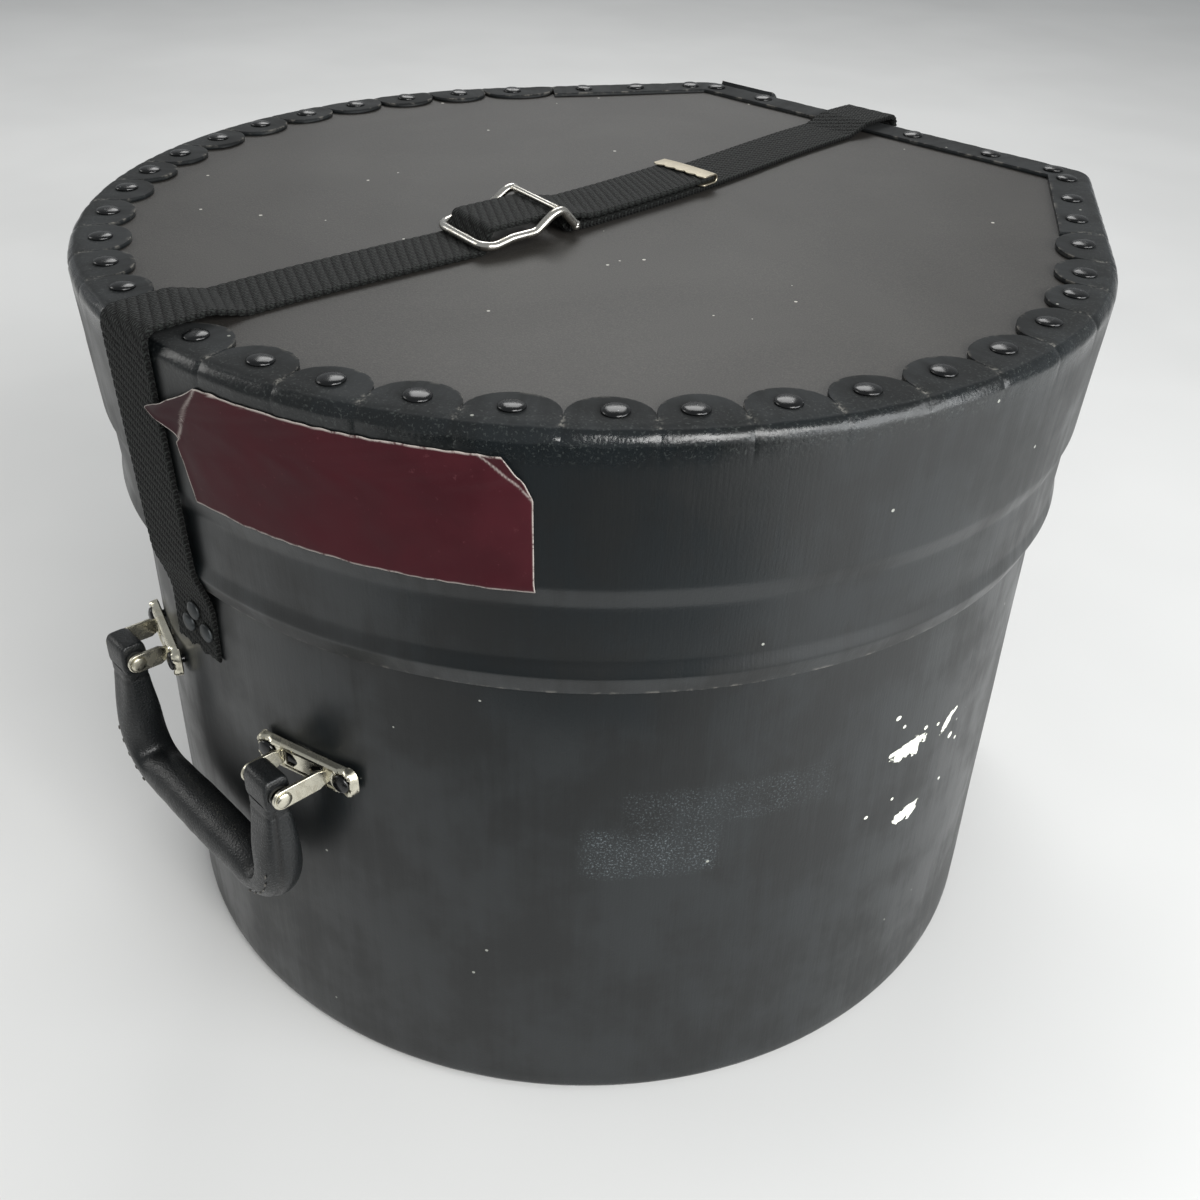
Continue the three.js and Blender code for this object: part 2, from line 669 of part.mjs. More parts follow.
/** Further places along a level run, which let it follow the strap's bow. */
function levelRun(from, to, z) {
  return Array.from({ length: SWAY_STEPS }, (_, i) =>
    new THREE.Vector2(from + ((to - from) * (i + 1)) / SWAY_STEPS, z));
}

/** What is left of a change at a distance from its middle: all of it there, none at its reach. */
function fade(distance, reach) {
  const share = Math.min(1, Math.abs(distance) / reach);
  return (1 - share * share) ** 2;
}

/** Moves a piece with the strap, which bows sideways over the lid and is turned at its buckle. */
function swayed(geometry) {
  const position = geometry.attributes.position;
  const skew = Math.tan(THREE.MathUtils.degToRad(BUCKLE_SKEW));
  const middle = BUCKLE_FRONT + BUCKLE_LENGTH / 2;
  for (let i = 0; i < position.count; i += 1) {
    const x = position.getX(i);
    const y = position.getY(i);
    position.setX(i, x + STRAP_BOW * fade(y, BOW_REACH));
    position.setY(i, y + skew * fade(y - middle, SKEW_REACH) * (x - STRAP_OFFSET));
  }
  return geometry;
}

/** Sets a drop's sideways lean, nothing at the eave and all of it at the case. */
function leaning(geometry) {
  const share = STRAP_LEAN / (eaveZ - anchorLowZ);
  const shear = new THREE.Matrix4().set(
    1, 0, -share, share * eaveZ, 0, 1, 0, 0, 0, 0, 1, 0, 0, 0, 0, 1);
  return geometry.applyMatrix4(shear);
}

// Buckle

const crossBarY = BUCKLE_FRONT + BUCKLE_ARM_SHARES[2] * BUCKLE_LENGTH;
const endBarY = BUCKLE_FRONT + BUCKLE_LENGTH;
const crestZ = bucklePlaneZ + BUCKLE_HUMP_RISE;
const armX = BUCKLE_WIDTH / 2 - BUCKLE_WIRE_RADIUS;

/** Middle line of one side arm, from the front corner to the end bar. */
function armRoute(side) {
  const x = STRAP_OFFSET + side * armX;
  const [troughStart, troughEnd] = BUCKLE_ARM_SHARES;
  const troughZ = bucklePlaneZ + BUCKLE_TROUGH_RISE;
  return [
    new THREE.Vector3(x, BUCKLE_FRONT + BUCKLE_CORNER, bucklePlaneZ),
    new THREE.Vector3(x, BUCKLE_FRONT + troughStart * BUCKLE_LENGTH, troughZ),
    new THREE.Vector3(x, BUCKLE_FRONT + troughEnd * BUCKLE_LENGTH, troughZ),
    new THREE.Vector3(x, crossBarY, crestZ),
    new THREE.Vector3(x, endBarY, bucklePlaneZ),
  ];
}

/** A wire along a curve. */
function wire(points, radius, steps) {
  const section = new THREE.Shape();
  for (let i = 0; i < WIRE_SIDES; i += 1) {
    const p = direction((2 * Math.PI * i) / WIRE_SIDES).multiplyScalar(radius);
    if (i === 0) section.moveTo(p.x, p.y);
    else section.lineTo(p.x, p.y);
  }
  section.closePath();
  const extrudePath = new THREE.CatmullRomCurve3(points, false, 'centripetal');
  return new THREE.ExtrudeGeometry(section, { extrudePath, steps, bevelEnabled: false });
}

function buckleFrame() {
  const left = armRoute(-1).reverse();
  const right = armRoute(1);
  const inset = BUCKLE_CORNER * CORNER_CUT_SHARE;
  const corner = (side) => new THREE.Vector3(
    STRAP_OFFSET + side * (armX - inset), BUCKLE_FRONT + inset, bucklePlaneZ);
  const bar = (side) => new THREE.Vector3(
    STRAP_OFFSET + side * (armX - BUCKLE_CORNER), BUCKLE_FRONT, bucklePlaneZ);
  const route = [...left, corner(-1), bar(-1), bar(1), corner(1), ...right];
  const frame = solidOf(wire(route, BUCKLE_WIRE_RADIUS, BUCKLE_STEPS));
  const endBar = barAlongX(BUCKLE_BAR_RADIUS, 2 * armX, WIRE_SIDES);
  const whole = frame.add(solidOf(endBar.translate(STRAP_OFFSET, endBarY, bucklePlaneZ)));
  return swayed(geometryOf(whole));
}

function crossBar() {
  const length = 2 * (armX - BUCKLE_WIRE_RADIUS - FIT_GAP);
  const bar = barAlongX(BUCKLE_BAR_RADIUS, length, WIRE_SIDES);
  return swayed(bar.translate(STRAP_OFFSET, crossBarY, crestZ));
}

// Strap routes that weave through the buckle

const loopRadius = BUCKLE_BAR_RADIUS + FIT_GAP + halfStrap;
const weaveZ = crestZ - BUCKLE_BAR_RADIUS - FIT_GAP - halfStrap;
const freeEndZ = strapLowZ + STRAP_THICKNESS + 2 * FIT_GAP + TIP_SHEET;
const tipY = endBarY + FREE_END_LENGTH;

/** Front strap: under the front bar, up over the arms' troughs and down under the cross bar. */
function frontTopRoute() {
  const rise = BUCKLE_FRONT + BUCKLE_WIRE_RADIUS + halfStrap;
  const slope = (weaveZ - strapLowZ) * WEAVE_SLOPE_SHARE;
  const level = wayIn(-1);
  return [
    ...level,
    ...levelRun(level.at(-1).x, rise, strapLowZ),
    new THREE.Vector2(rise + slope, weaveZ),
    new THREE.Vector2(crossBarY, weaveZ),
    new THREE.Vector2(crossBarY + TAIL_LENGTH, weaveZ - halfStrap),
  ];
}

/** Rear strap: in under the end bar, round it and back out to the clamped tip. */
function rearTopRoute() {
  const level = wayIn(1);
  const points = [...level, ...levelRun(level.at(-1).x, endBarY + LOOP_RUN, strapLowZ)];
  for (let i = 0; i <= STRAP_BEND_STEPS; i += 1) {
    const angle = -Math.PI / 2 - (Math.PI * i) / STRAP_BEND_STEPS;
    points.push(new THREE.Vector2(
      endBarY + loopRadius * Math.cos(angle), bucklePlaneZ + loopRadius * Math.sin(angle)));
  }
  points.push(new THREE.Vector2(endBarY + LOOP_RUN, freeEndZ));
  points.push(...levelRun(endBarY + LOOP_RUN, tipY - TIP_SHEET - FIT_GAP, freeEndZ));
  return points;
}

/** The folded metal clamp on the strap's free end, open towards the buckle. */
function strapTip() {
  const low = freeEndZ - halfStrap - FIT_GAP - TIP_SHEET;
  const high = freeEndZ + halfStrap + FIT_GAP + TIP_SHEET;
  const open = tipY - TIP_LENGTH;
  const inside = tipY - TIP_SHEET;
  const outline = [
    [open, high], [tipY, high], [tipY, low], [open, low],
    [open, low + TIP_SHEET], [inside, low + TIP_SHEET],
    [inside, high - TIP_SHEET], [open, high - TIP_SHEET],
  ].map(([y, z]) => new THREE.Vector2(y, z));
  const width = STRAP_WIDTH + 2 * TIP_SHEET;
  return swayed(acrossX(outline, STRAP_OFFSET, width));
}

// Rivets that hold the strap and the handle plates to the case wall

/** A rivet through the case wall with its washer and the cutter of its hole. */
function wallFastener({ angle, across, z, headOut, headRadius, headHeight, flat = false }) {
  const inner = CASE_RADIUS - SHEET;
  const facet = inner * (1 - Math.cos((Math.PI + 2 * runAngle) / ARC_STEPS / 2));
  const reach = Math.abs(across) + WASHER_RADIUS;
  const wallOut = flat ? inner : Math.sqrt(inner * inner - reach * reach) - facet;
  const washerOut = wallOut - FIT_GAP - WASHER_THICKNESS;
  const grip = headOut - washerOut + FIT_GAP;
  const middle = (headOut + washerOut) / 2;
  return {
    rivet: outward(rivet(grip, headRadius, headHeight), angle, headOut, z, across),
    washer: outward(washer(rivetHoleRadius, WASHER_RADIUS, WASHER_THICKNESS), angle, washerOut, z, across),
    cutter: outward(holeCutter(rivetHoleRadius, grip), angle, middle, z, across),
  };
}

/** The three rivets of the strap's end on the front (-1) or the back (1) of the case. */
function anchorFasteners(side) {
  const lean = side < 0 ? STRAP_LEAN : 0;
  return ANCHOR_ACROSS_SHARES.map((share, i) => {
    const z = anchorLowZ + ANCHOR_UP_SHARES[i] * ANCHOR_LENGTH;
    const x = STRAP_OFFSET + lean + share * STRAP_WIDTH;
    return wallFastener({
      angle: (side * Math.PI) / 2,
      across: -side * x,
      z,
      headOut: CASE_RADIUS + STRAP_THICKNESS + 2 * FIT_GAP,
      headRadius: ANCHOR_RIVET_RADIUS,
      headHeight: ANCHOR_RIVET_HEIGHT,
      flat: side > 0,
    });
  });
}

const plateFaceOut = CASE_RADIUS + FIT_GAP + PLATE_DEPTH;
const plateTurn = (side) => side * Math.asin((legX(1) - EAR_SPLAY) / plateFaceOut);

/** The two rivets of one handle plate, on the left (-1) or the right (1). */
function plateFasteners(side) {
  return [-1, 1].map((end) => wallFastener({
    angle: handleTurn - Math.PI / 2 + plateTurn(side),
    across: (end * PLATE_RIVET_SPACING) / 2,
    z: pinZ,
    headOut: plateFaceOut + FIT_GAP,
    headRadius: PLATE_RIVET_RADIUS,
    headHeight: RIVET_HEAD_HEIGHT,
  }));
}

const anchors = { front: anchorFasteners(-1), rear: anchorFasteners(1) };
const plateRivets = { left: plateFasteners(-1), right: plateFasteners(1) };
const allFasteners = [...anchors.front, ...anchors.rear, ...plateRivets.left, ...plateRivets.right];

/** A strap's drop from the rim to the case, with its rivet holes. */
function strapDrop(side) {
  const ribbon = strap(toSide(dropRoute(), side), STRAP_OFFSET);
  const leaned = side < 0 ? leaning(ribbon) : ribbon;
  const fasteners = side < 0 ? anchors.front : anchors.rear;
  return solidOf(leaned).subtract(solidOf(group(fasteners.map((f) => f.cutter))));
}

// Handle, in a frame of its own: -Y points out of the wall and X runs along the pins

const pinToFace = pinOut - plateFaceOut * Math.cos(plateTurn(1));
const earTurn = (side) => side * Math.atan(EAR_SPLAY / pinToFace);
const bushInner = PIN_RADIUS + (EYE_WIDTH / 2) * Math.tan(earTurn(1)) + RUNNING_GAP;
const bushOuter = bushInner + BUSH_WALL;

/** Puts a piece, made about a pin's middle, in its ear's direction. */
function atPin(geometry, side) {
  return geometry.rotateZ(earTurn(side)).translate(legX(side), -pinOut, pinZ);
}

/** One ear from its round end at the pin into the plate's hollow. */
function ear(side, end) {
  const slant = (EAR_SPACING / 2 + EAR_THICKNESS) * Math.tan(plateTurn(1));
  const reach = Math.hypot(pinToFace, EAR_SPLAY) + slant + PLATE_DEPTH;
  const half = EAR_WIDTH / 2;
  const shape = new THREE.Shape();
  shape.absarc(0, 0, half, Math.PI / 2, (3 * Math.PI) / 2, false);
  shape.lineTo(reach, -half);
  shape.lineTo(reach, half);
  const hole = new THREE.Path();
  hole.absarc(0, 0, PIN_RADIUS + FIT_GAP, 0, 2 * Math.PI, true);
  shape.holes.push(hole);
  const options = { depth: EAR_THICKNESS, bevelEnabled: false, curveSegments: ROUND_STEPS * 2 };
  const strip = new THREE.ExtrudeGeometry(shape, options).rotateX(Math.PI / 2).rotateZ(Math.PI / 2);
  return atPin(strip.translate((end * EAR_SPACING) / 2 - EAR_THICKNESS / 2, 0, 0), side);
}

/** A stamped plate: a shallow tray with two ears that were cut from its face. */
function handlePlate(side) {
  const faceY = -plateFaceOut;
  const facing = (piece) => piece.rotateZ(plateTurn(side));
  const tray = box(0, faceY + PLATE_DEPTH / 2, pinZ, PLATE_LENGTH, PLATE_DEPTH, PLATE_HEIGHT);
  const hollowDepth = PLATE_DEPTH * 2;
  const hollow = box(
    0, faceY + PLATE_SHEET + hollowDepth / 2, pinZ,
    PLATE_LENGTH - 2 * PLATE_SHEET, hollowDepth, PLATE_HEIGHT - 2 * PLATE_SHEET);
  const behind = box(
    0, faceY + (PLATE_SHEET + EAR_SPACING) / 2, pinZ, PLATE_LENGTH, EAR_SPACING, PLATE_HEIGHT);
  const windowX = EAR_SPACING / 2 - EAR_THICKNESS - WINDOW_WIDTH / 2;
  const windows = [-1, 1].map((end) =>
    box(end * windowX, faceY, pinZ, WINDOW_WIDTH, 2 * PLATE_DEPTH, WINDOW_HEIGHT));
  const holes = plateFasteners(side).map((f) => f.cutter.rotateZ(-handleTurn));
  const ears = solidOf(ear(side, -1)).add(solidOf(ear(side, 1))).subtract(solidOf(facing(behind)));
  return solidOf(facing(tray))
    .subtract(solidOf(facing(hollow)))
    .add(ears)
    .subtract(solidOf(facing(group(windows))))
    .subtract(solidOf(group(holes)));
}

/** The pin through both ears, with a small head at each end. */
function handlePin(side) {
  const half = EAR_SPACING / 2 + EAR_THICKNESS / 2 + FIT_GAP;
  const points = [
    [0, -half - PIN_HEAD_HEIGHT],
    [PIN_HEAD_RADIUS, -half - PIN_HEAD_HEIGHT],
    [PIN_HEAD_RADIUS, -half],
    [PIN_RADIUS, -half],
    [PIN_RADIUS, half],
    [PIN_HEAD_RADIUS, half],
    [PIN_HEAD_RADIUS, half + PIN_HEAD_HEIGHT],
    [0, half + PIN_HEAD_HEIGHT],
  ];
  return atPin(turned(points, PIN_SIDES).rotateY(Math.PI / 2), side);
}

/** The steel bush in one eye of the grip. */
function handleBush(side) {
  const half = EYE_WIDTH / 2;
  const points = [
    [bushInner, -half], [bushOuter, -half], [bushOuter, half], [bushInner, half], [bushInner, -half],
  ];
  return turned(points, EYE_SIDES).rotateY(Math.PI / 2).translate(legX(side), -pinOut, pinZ);
}

/** The grip: two legs that hang from the pins and bend into a round bar. */
function handleGrip() {
  const neck = GRIP_RADIUS * NECK_SHARE;
  const lowZ = -GRIP_DROP;
  const bendAt = (side, turn) => new THREE.Vector3(
    side * (legX(1) - GRIP_BEND + GRIP_BEND * Math.cos(turn)), 0,
    lowZ + GRIP_BEND - GRIP_BEND * Math.sin(turn));
  const half = (side) => [
    new THREE.Vector3(legX(side), 0, -neck),
    new THREE.Vector3(legX(side), 0, (lowZ + GRIP_BEND - neck) / 2),
    ...[0, Math.PI / 6, Math.PI / 3, Math.PI / 2].map((turn) => bendAt(side, turn)),
  ];
  const route = [...half(-1), new THREE.Vector3(0, 0, lowZ), ...half(1).reverse()];
  const section = new THREE.Shape(new THREE.Path().absarc(0, 0, GRIP_RADIUS, 0, 2 * Math.PI)
    .getSpacedPoints(GRIP_SIDES).slice(0, -1));
  const extrudePath = new THREE.CatmullRomCurve3(route, false, 'centripetal');
  const tube = new THREE.ExtrudeGeometry(section, { extrudePath, steps: GRIP_STEPS, bevelEnabled: false });
  let grip = solidOf(tube);
  for (const side of [-1, 1]) {
    const neckBox = box(0, 0, -neck / 2, EYE_WIDTH, 2 * neck, neck + CUT_OVERRUN);
    const eye = barAlongX(EYE_RADIUS, EYE_WIDTH, EYE_SIDES);
    const bore = barAlongX(bushOuter + FIT_GAP, EYE_WIDTH + 2 * CUT_OVERRUN, EYE_SIDES);
    const loop = solidOf(neckBox).add(solidOf(eye)).translate([legX(side), 0, 0]);
    grip = grip.add(loop).subtract(solidOf(bore).translate([legX(side), 0, 0]));
  }
  return grip.translate([0, -pinOut, pinZ]);
}

// Scene

const drumCase = new THREE.Group();
const handle = new THREE.Group();
drumCase.position.y = originShift;
handle.rotation.z = handleTurn;
drumCase.add(handle);

/** Adds a named piece to a group. */
function add(parent, name, shape, material) {
  const geometry = shape.isBufferGeometry ? shape : geometryOf(shape);
  const mesh = new THREE.Mesh(geometry, material);
  mesh.name = name;
  parent.add(mesh);
}

/** Adds pieces that are alike, numbered from 1. */
function addEach(parent, name, shapes, material) {
  shapes.forEach((shape, i) => add(parent, `${name}_${i + 1}`, shape, material));
}

add(drumCase, 'lid_wall', lidWall(), finishes.fibre);
add(drumCase, 'lid_panel', lidPanel(), finishes.panel);
add(drumCase, 'lid_label', lidLabel(), finishes.label);
addEach(drumCase, 'lid_seam_rivet', seamRivetPlaces().lid.map(seamRivetAt), finishes.rivet);

add(drumCase, 'case_wall', caseWall(), finishes.fibre);
add(drumCase, 'bottom_panel', bottomPanel(), finishes.panel);
addEach(drumCase, 'case_seam_rivet', seamRivetPlaces().below.map(seamRivetAt), finishes.rivet);

add(drumCase, 'strap_front_drop', strapDrop(-1), finishes.webbing);
add(drumCase, 'strap_rear_drop', strapDrop(1), finishes.webbing);
add(drumCase, 'strap_front_top', swayed(strap(frontTopRoute(), STRAP_OFFSET)), finishes.webbing);
add(drumCase, 'strap_rear_top', swayed(strap(rearTopRoute(), STRAP_OFFSET)), finishes.webbing);
add(drumCase, 'strap_tip', strapTip(), finishes.steel);
add(drumCase, 'buckle_frame', buckleFrame(), finishes.chrome);
add(drumCase, 'buckle_cross_bar', crossBar(), finishes.chrome);
for (const [name, fasteners] of Object.entries(anchors)) {
  addEach(drumCase, `strap_${name}_rivet`, fasteners.map((f) => f.rivet), finishes.anchorRivet);
  addEach(drumCase, `strap_${name}_washer`, fasteners.map((f) => f.washer), finishes.steel);
}

for (const [name, side] of [['left', -1], ['right', 1]]) {
  const fasteners = plateRivets[name];
  addEach(drumCase, `handle_${name}_rivet`, fasteners.map((f) => f.rivet), finishes.rivet);
  addEach(drumCase, `handle_${name}_washer`, fasteners.map((f) => f.washer), finishes.steel);
  add(handle, `handle_${name}_plate`, handlePlate(side), finishes.brassPlate);
  add(handle, `handle_${name}_pin`, handlePin(side), finishes.brassPlate);
  add(handle, `handle_${name}_bush`, handleBush(side), finishes.steel);
}
add(handle, 'handle_grip', handleGrip(), finishes.leather);

export default drumCase;
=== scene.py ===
"""A round drum case of vulcanised fibre with one flat side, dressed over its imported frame.

Every shape is worked out in millimetres about the middle of the case's round side and is
written to Blender in metres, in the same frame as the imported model.
"""

import logging
import math
from dataclasses import dataclass
from enum import Enum
from typing import Callable, Sequence, Union

import bpy
import numpy as np
from mathutils import Matrix, Vector


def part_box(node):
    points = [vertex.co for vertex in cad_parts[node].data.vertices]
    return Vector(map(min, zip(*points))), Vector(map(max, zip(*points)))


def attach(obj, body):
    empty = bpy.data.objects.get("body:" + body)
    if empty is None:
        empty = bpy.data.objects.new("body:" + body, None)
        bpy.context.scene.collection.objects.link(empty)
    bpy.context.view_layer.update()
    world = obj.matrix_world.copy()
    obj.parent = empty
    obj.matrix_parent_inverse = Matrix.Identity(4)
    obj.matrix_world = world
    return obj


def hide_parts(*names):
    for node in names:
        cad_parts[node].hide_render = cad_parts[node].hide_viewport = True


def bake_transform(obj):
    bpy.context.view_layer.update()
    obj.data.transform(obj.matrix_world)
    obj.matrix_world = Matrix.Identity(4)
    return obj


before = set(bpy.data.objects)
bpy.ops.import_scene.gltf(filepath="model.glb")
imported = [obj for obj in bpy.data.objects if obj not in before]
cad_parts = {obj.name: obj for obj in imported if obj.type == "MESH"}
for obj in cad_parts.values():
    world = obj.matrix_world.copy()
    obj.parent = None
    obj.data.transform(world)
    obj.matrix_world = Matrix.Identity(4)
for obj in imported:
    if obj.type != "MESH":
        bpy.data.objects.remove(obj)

Array = np.ndarray
Socket = bpy.types.NodeSocket
Value = Union[Socket, float, tuple]
MM = 0.001
TURN = 2 * math.pi
ROUND = (False, True)  # a grid whose last column joins its first
RING = (True, True)  # one whose last row joins its first as well
RIB_POWER = 0.6  # shape of a rib of the webbing, as a power of a sine
MASKS = "masks"  # the paint masks of a mesh
# worn flecks on the rolled rim, which also paint its sparkling highlight
WORN_RIM_AND_SPARKLE = "#565b58"
FRAYED_FIBRE = "#77756f"
RAW_FIBRE = "#6d6a64"
PALE_DUST = "#a8aaa2"
BARE_FIBRE = "#e9ebdd"
TAPE_GLUE = "#8d989d"
BOARD_SPECKLE = "#5d5953"
BOARD_DUST = "#c9c6bd"
ENAMEL_DUST = "#8f9192"
# painted shade in the gaps of the webbing's weave
WEAVE_GAP_SHADE = "#020202"
WEBBING_FUZZ = "#4c5150"
# the grip's dark seam line with painted shade in its groove and its crease
LEATHER_SEAM_CREASE_SHADE = "#050505"
THREAD = "#55524c"
LABEL_SCUFF = "#7d4e52"
LABEL_BACK = "#2b171b"
TORN_PAPER = "#c9c2bb"
FLOOR_TONES = ("#dcdcdb", "#e3e3e2")
# painted shadow: a dark card on the floor seen only in reflections
SHADOW_CARD = "#101010"
log = logging.getLogger("drum_case")


class Body(str, Enum):
    """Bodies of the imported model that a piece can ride."""

    CASE = "case"
    LID = "lid"
    HANDLE = "handle"


class Slot(str, Enum):
    """Material slots of the record."""

    FIBRE = "fibre"
    PANEL = "panel"
    BLACK_RIVET = "black_rivet"
    STRAP_RIVET = "strap_rivet"
    WEBBING = "webbing"
    TIP = "tip"
    BUCKLE = "buckle"
    PLATE = "handle_plate"
    STEEL = "steel"
    GRIP = "grip"
    LABEL = "label"


# Sizes in millimetres


@dataclass(frozen=True)
class ShellSizes:
    """The two wall sheets, the panels and what holds them.

    The lid's pressed bands are points: in from its radius, and up from its edge.
    """

    case_radius: float
    lid_radius: float
    lid_edge: float
    top: float
    middle_y: float
    flat_half: float = 99.5
    corner_round: float = 5
    sheet: float = 1.6
    panel: float = 2
    rim_round: float = 5
    foot_round: float = 4
    tab_root: float = 8.5
    tab_depth: float = 12
    straight_tab: float = 18
    tab_end: float = 38.5
    rivet_inset: float = 11.2
    rivet_radius: float = 4.8
    rivet_height: float = 1.8
    clinch_radius: float = 2.6
    lap_width: float = 30
    lap_middle: float = -76.5
    gap: float = 0.3
    bands: tuple = ((7.0, 0.0), (4.4, 6.8), (5.4, 12.3), (4.6, 31.8), (2.6, 38.3))

    @property
    def eave(self) -> float:
        """Height at which the lid's rolled rim starts."""
        return self.top - self.rim_round

    @property
    def case_top(self) -> float:
        """Height of the case wall's upper edge."""
        return self.top - self.sheet - self.panel - 1 - self.gap


@dataclass(frozen=True)
class StrapSizes:
    """The webbing strap. Its nominal face lies at the rib level, a share of a rib's height."""

    width: float = 25
    thickness: float = 1.8
    middle_x: float = -7
    lean: float = -5
    bend: float = 4
    anchor_top: float = 176.7
    anchor_low: float = 157.2
    bow: float = 9
    bow_reach: float = 150
    sag_run: float = 12
    rib_pitch: float = 3.3
    rib_slant: float = 0.466
    rib_height: float = 0.42
    rib_level: float = 0.75
    column: float = 1.15
    stitch: float = 1.65
    edge_bead: float = 0.32
    free_end: float = 75.8
    clamp: float = 9
    rivet_radius: float = 3.4
    rivet_height: float = 1.5
    shank: float = 1.6
    fibres: int = 170
    clamp_sheet: float = 0.6


@dataclass(frozen=True)
class BuckleSizes:
    """The wire buckle and its cross bar."""

    wire: float = 1.5
    bar: float = 1.1
    half_width: float = 15
    front_y: float = -63
    length: float = 39
    skew: float = -10.5
    skew_reach: float = 90
    hump: float = 6.5
    trough: float = 1.2
    corner: float = 5
    shares: tuple = (0.3, 0.55, 0.82)


@dataclass(frozen=True)
class HandleSizes:
    """The leather grip, its plates and pins."""

    turn: float = math.radians(-2.5)
    pin_out: float = 182
    pin_z: float = 134.7
    leg_x: float = 47.6
    grip_radius: float = 8
    drop: float = 47
    bend: float = 16
    eye_radius: float = 6.4
    eye_depth: float = 4.7
    eye_width: float = 12.6
    eye_bore: float = 3.6
    pin_radius: float = 1.9
    pin_head: float = 2.8
    plate_length: float = 40.5
    plate_height: float = 9.4
    plate_depth: float = 2.6
    plate_corner: float = 3.2
    plate_lip: float = 0.4
    plate_rivets: float = 31.4
    plate_rivet_radius: float = 3.4
    plate_rivet_height: float = 1.8
    shank: float = 1.6
    leg_power: float = 5.2
    seam_depth: float = 0.55
    crease_depth: float = 0.22
    stuffing: float = 0.35
    heel_out: float = 5.4
    ear_spacing: float = 18
    ear_width: float = 7.4
    ear_thickness: float = 1.3
    ear_splay: float = 0.4
    window_width: float = 5
    window_height: float = 5.4


# Where the rivets of the tabs are: degrees round the case, shares of the flat side's half
# width from its middle, and shares of it along the straight run to each corner
TAB_ANGLES = (
    -212, -203.5, -195, -186.5, -178, -169.5, -161, -152.5, -144.5, -137, -128, -119, -110.5, -102.5,
    -94.5, -86.5, -77.5, -69.5, -61, -52.5, -43.5, -36.5, -28, -20, -11, -2, 7.5, 17, 24, 34,
)
FLAT_SHARES = (-0.885, -0.6, -0.22, 0.22, 0.6, 0.885)
CORNER_SHARES = (0.33, 0.58, 0.85)


def box_mm(node: str) -> tuple:
    """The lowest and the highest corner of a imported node, in millimetres."""
    return tuple(np.array(corner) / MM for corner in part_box(node))


def shell_sizes() -> ShellSizes:
    """Reads the case's main sizes from the frame.

    Returns:
        The sizes, in millimetres about the middle of the round side.
    """
    low, high = box_mm("case_wall")
    lid_low, lid_high = box_mm("lid_wall")
    radius = float(high[0])
    return ShellSizes(
        case_radius=radius,
        lid_radius=float(lid_high[0]),
        lid_edge=float(lid_low[2]),
        top=float(lid_high[2]),
        middle_y=float(low[1]) + radius,
    )


# Shapes as arrays of points


def smooth(a: Array) -> Array:
    """The smoothstep of a value that is first cut to lie between 0 and 1."""
    t = np.clip(a, 0, 1)
    return t * t * (3 - 2 * t)


def bell(a: Array, width: float) -> Array:
    """A bell curve that is 1 at zero and falls off with the square of a over the width."""
    return np.exp(-((np.asarray(a) / width) ** 2))


def fade(distance: Array, reach: float) -> Array:
    """What is left of a change at a distance: the square of one minus the squared share of the reach."""
    return (1 - np.clip(np.abs(distance) / reach, 0, 1) ** 2) ** 2


def direction(angle: Array) -> Array:
    """Unit vectors in the plan at angles in radians."""
    return np.stack([np.cos(angle), np.sin(angle)], axis=-1)


def waves(u: Array, v: Array, seed: int, lengths: tuple, count: int = 14) -> Array:
    """Smooth random relief: a sum of plane waves with random direction, length and phase.

    Args:
        u: First coordinate in millimetres.
        v: Second coordinate in millimetres.
        seed: Seed of the random choice.
        lengths: Shortest and longest wave in millimetres.
        count: Number of waves.

    Returns:
        Relief of about unit height.
    """
    rng = np.random.default_rng(seed)
    total = np.zeros(np.broadcast(u, v).shape)
    for _ in range(count):
        size = TURN / rng.uniform(*lengths)
        way = rng.uniform(0, TURN)
        total += np.sin(size * (math.cos(way) * u + math.sin(way) * v) + rng.uniform(0, TURN))
    return total / math.sqrt(count)


def resample(points: Array, step: float, rounding: float = 0.0) -> Array:
    """Points at even steps along a polyline, with its corners rounded off.

    The polyline is sampled by its arc length and each coordinate is averaged with a bell
    curve as wide as the rounding. Both ends stay where they are.

    Args:
        points: Corners of the polyline, one row each.
        step: Distance between the new points.
        rounding: Width of the bell curve.

    Returns:
        The new points.
    """
    steps = np.linalg.norm(np.diff(points, axis=0), axis=1)
    along = np.concatenate([[0], np.cumsum(steps)])
    fine = step / 4
    count = max(8, int(along[-1] / fine))
    at = np.linspace(0, along[-1], count)
    line = np.stack([np.interp(at, along, points[:, k]) for k in range(points.shape[1])], axis=1)
    if rounding > 0:
        reach = int(3 * rounding / fine)
        kernel = bell(np.arange(-reach, reach + 1) * fine, rounding)
        kernel /= kernel.sum()
        before = 2 * line[0] - line[reach:0:-1]
        after = 2 * line[-1] - line[-2:-reach - 2:-1]
        padded = np.concatenate([before, line, after])
        line = np.stack([np.convolve(padded[:, k], kernel, "valid") for k in range(line.shape[1])], axis=1)
    keep = np.linspace(0, len(line) - 1, max(2, int(round(along[-1] / step)) + 1)).astype(int)
    return line[keep]


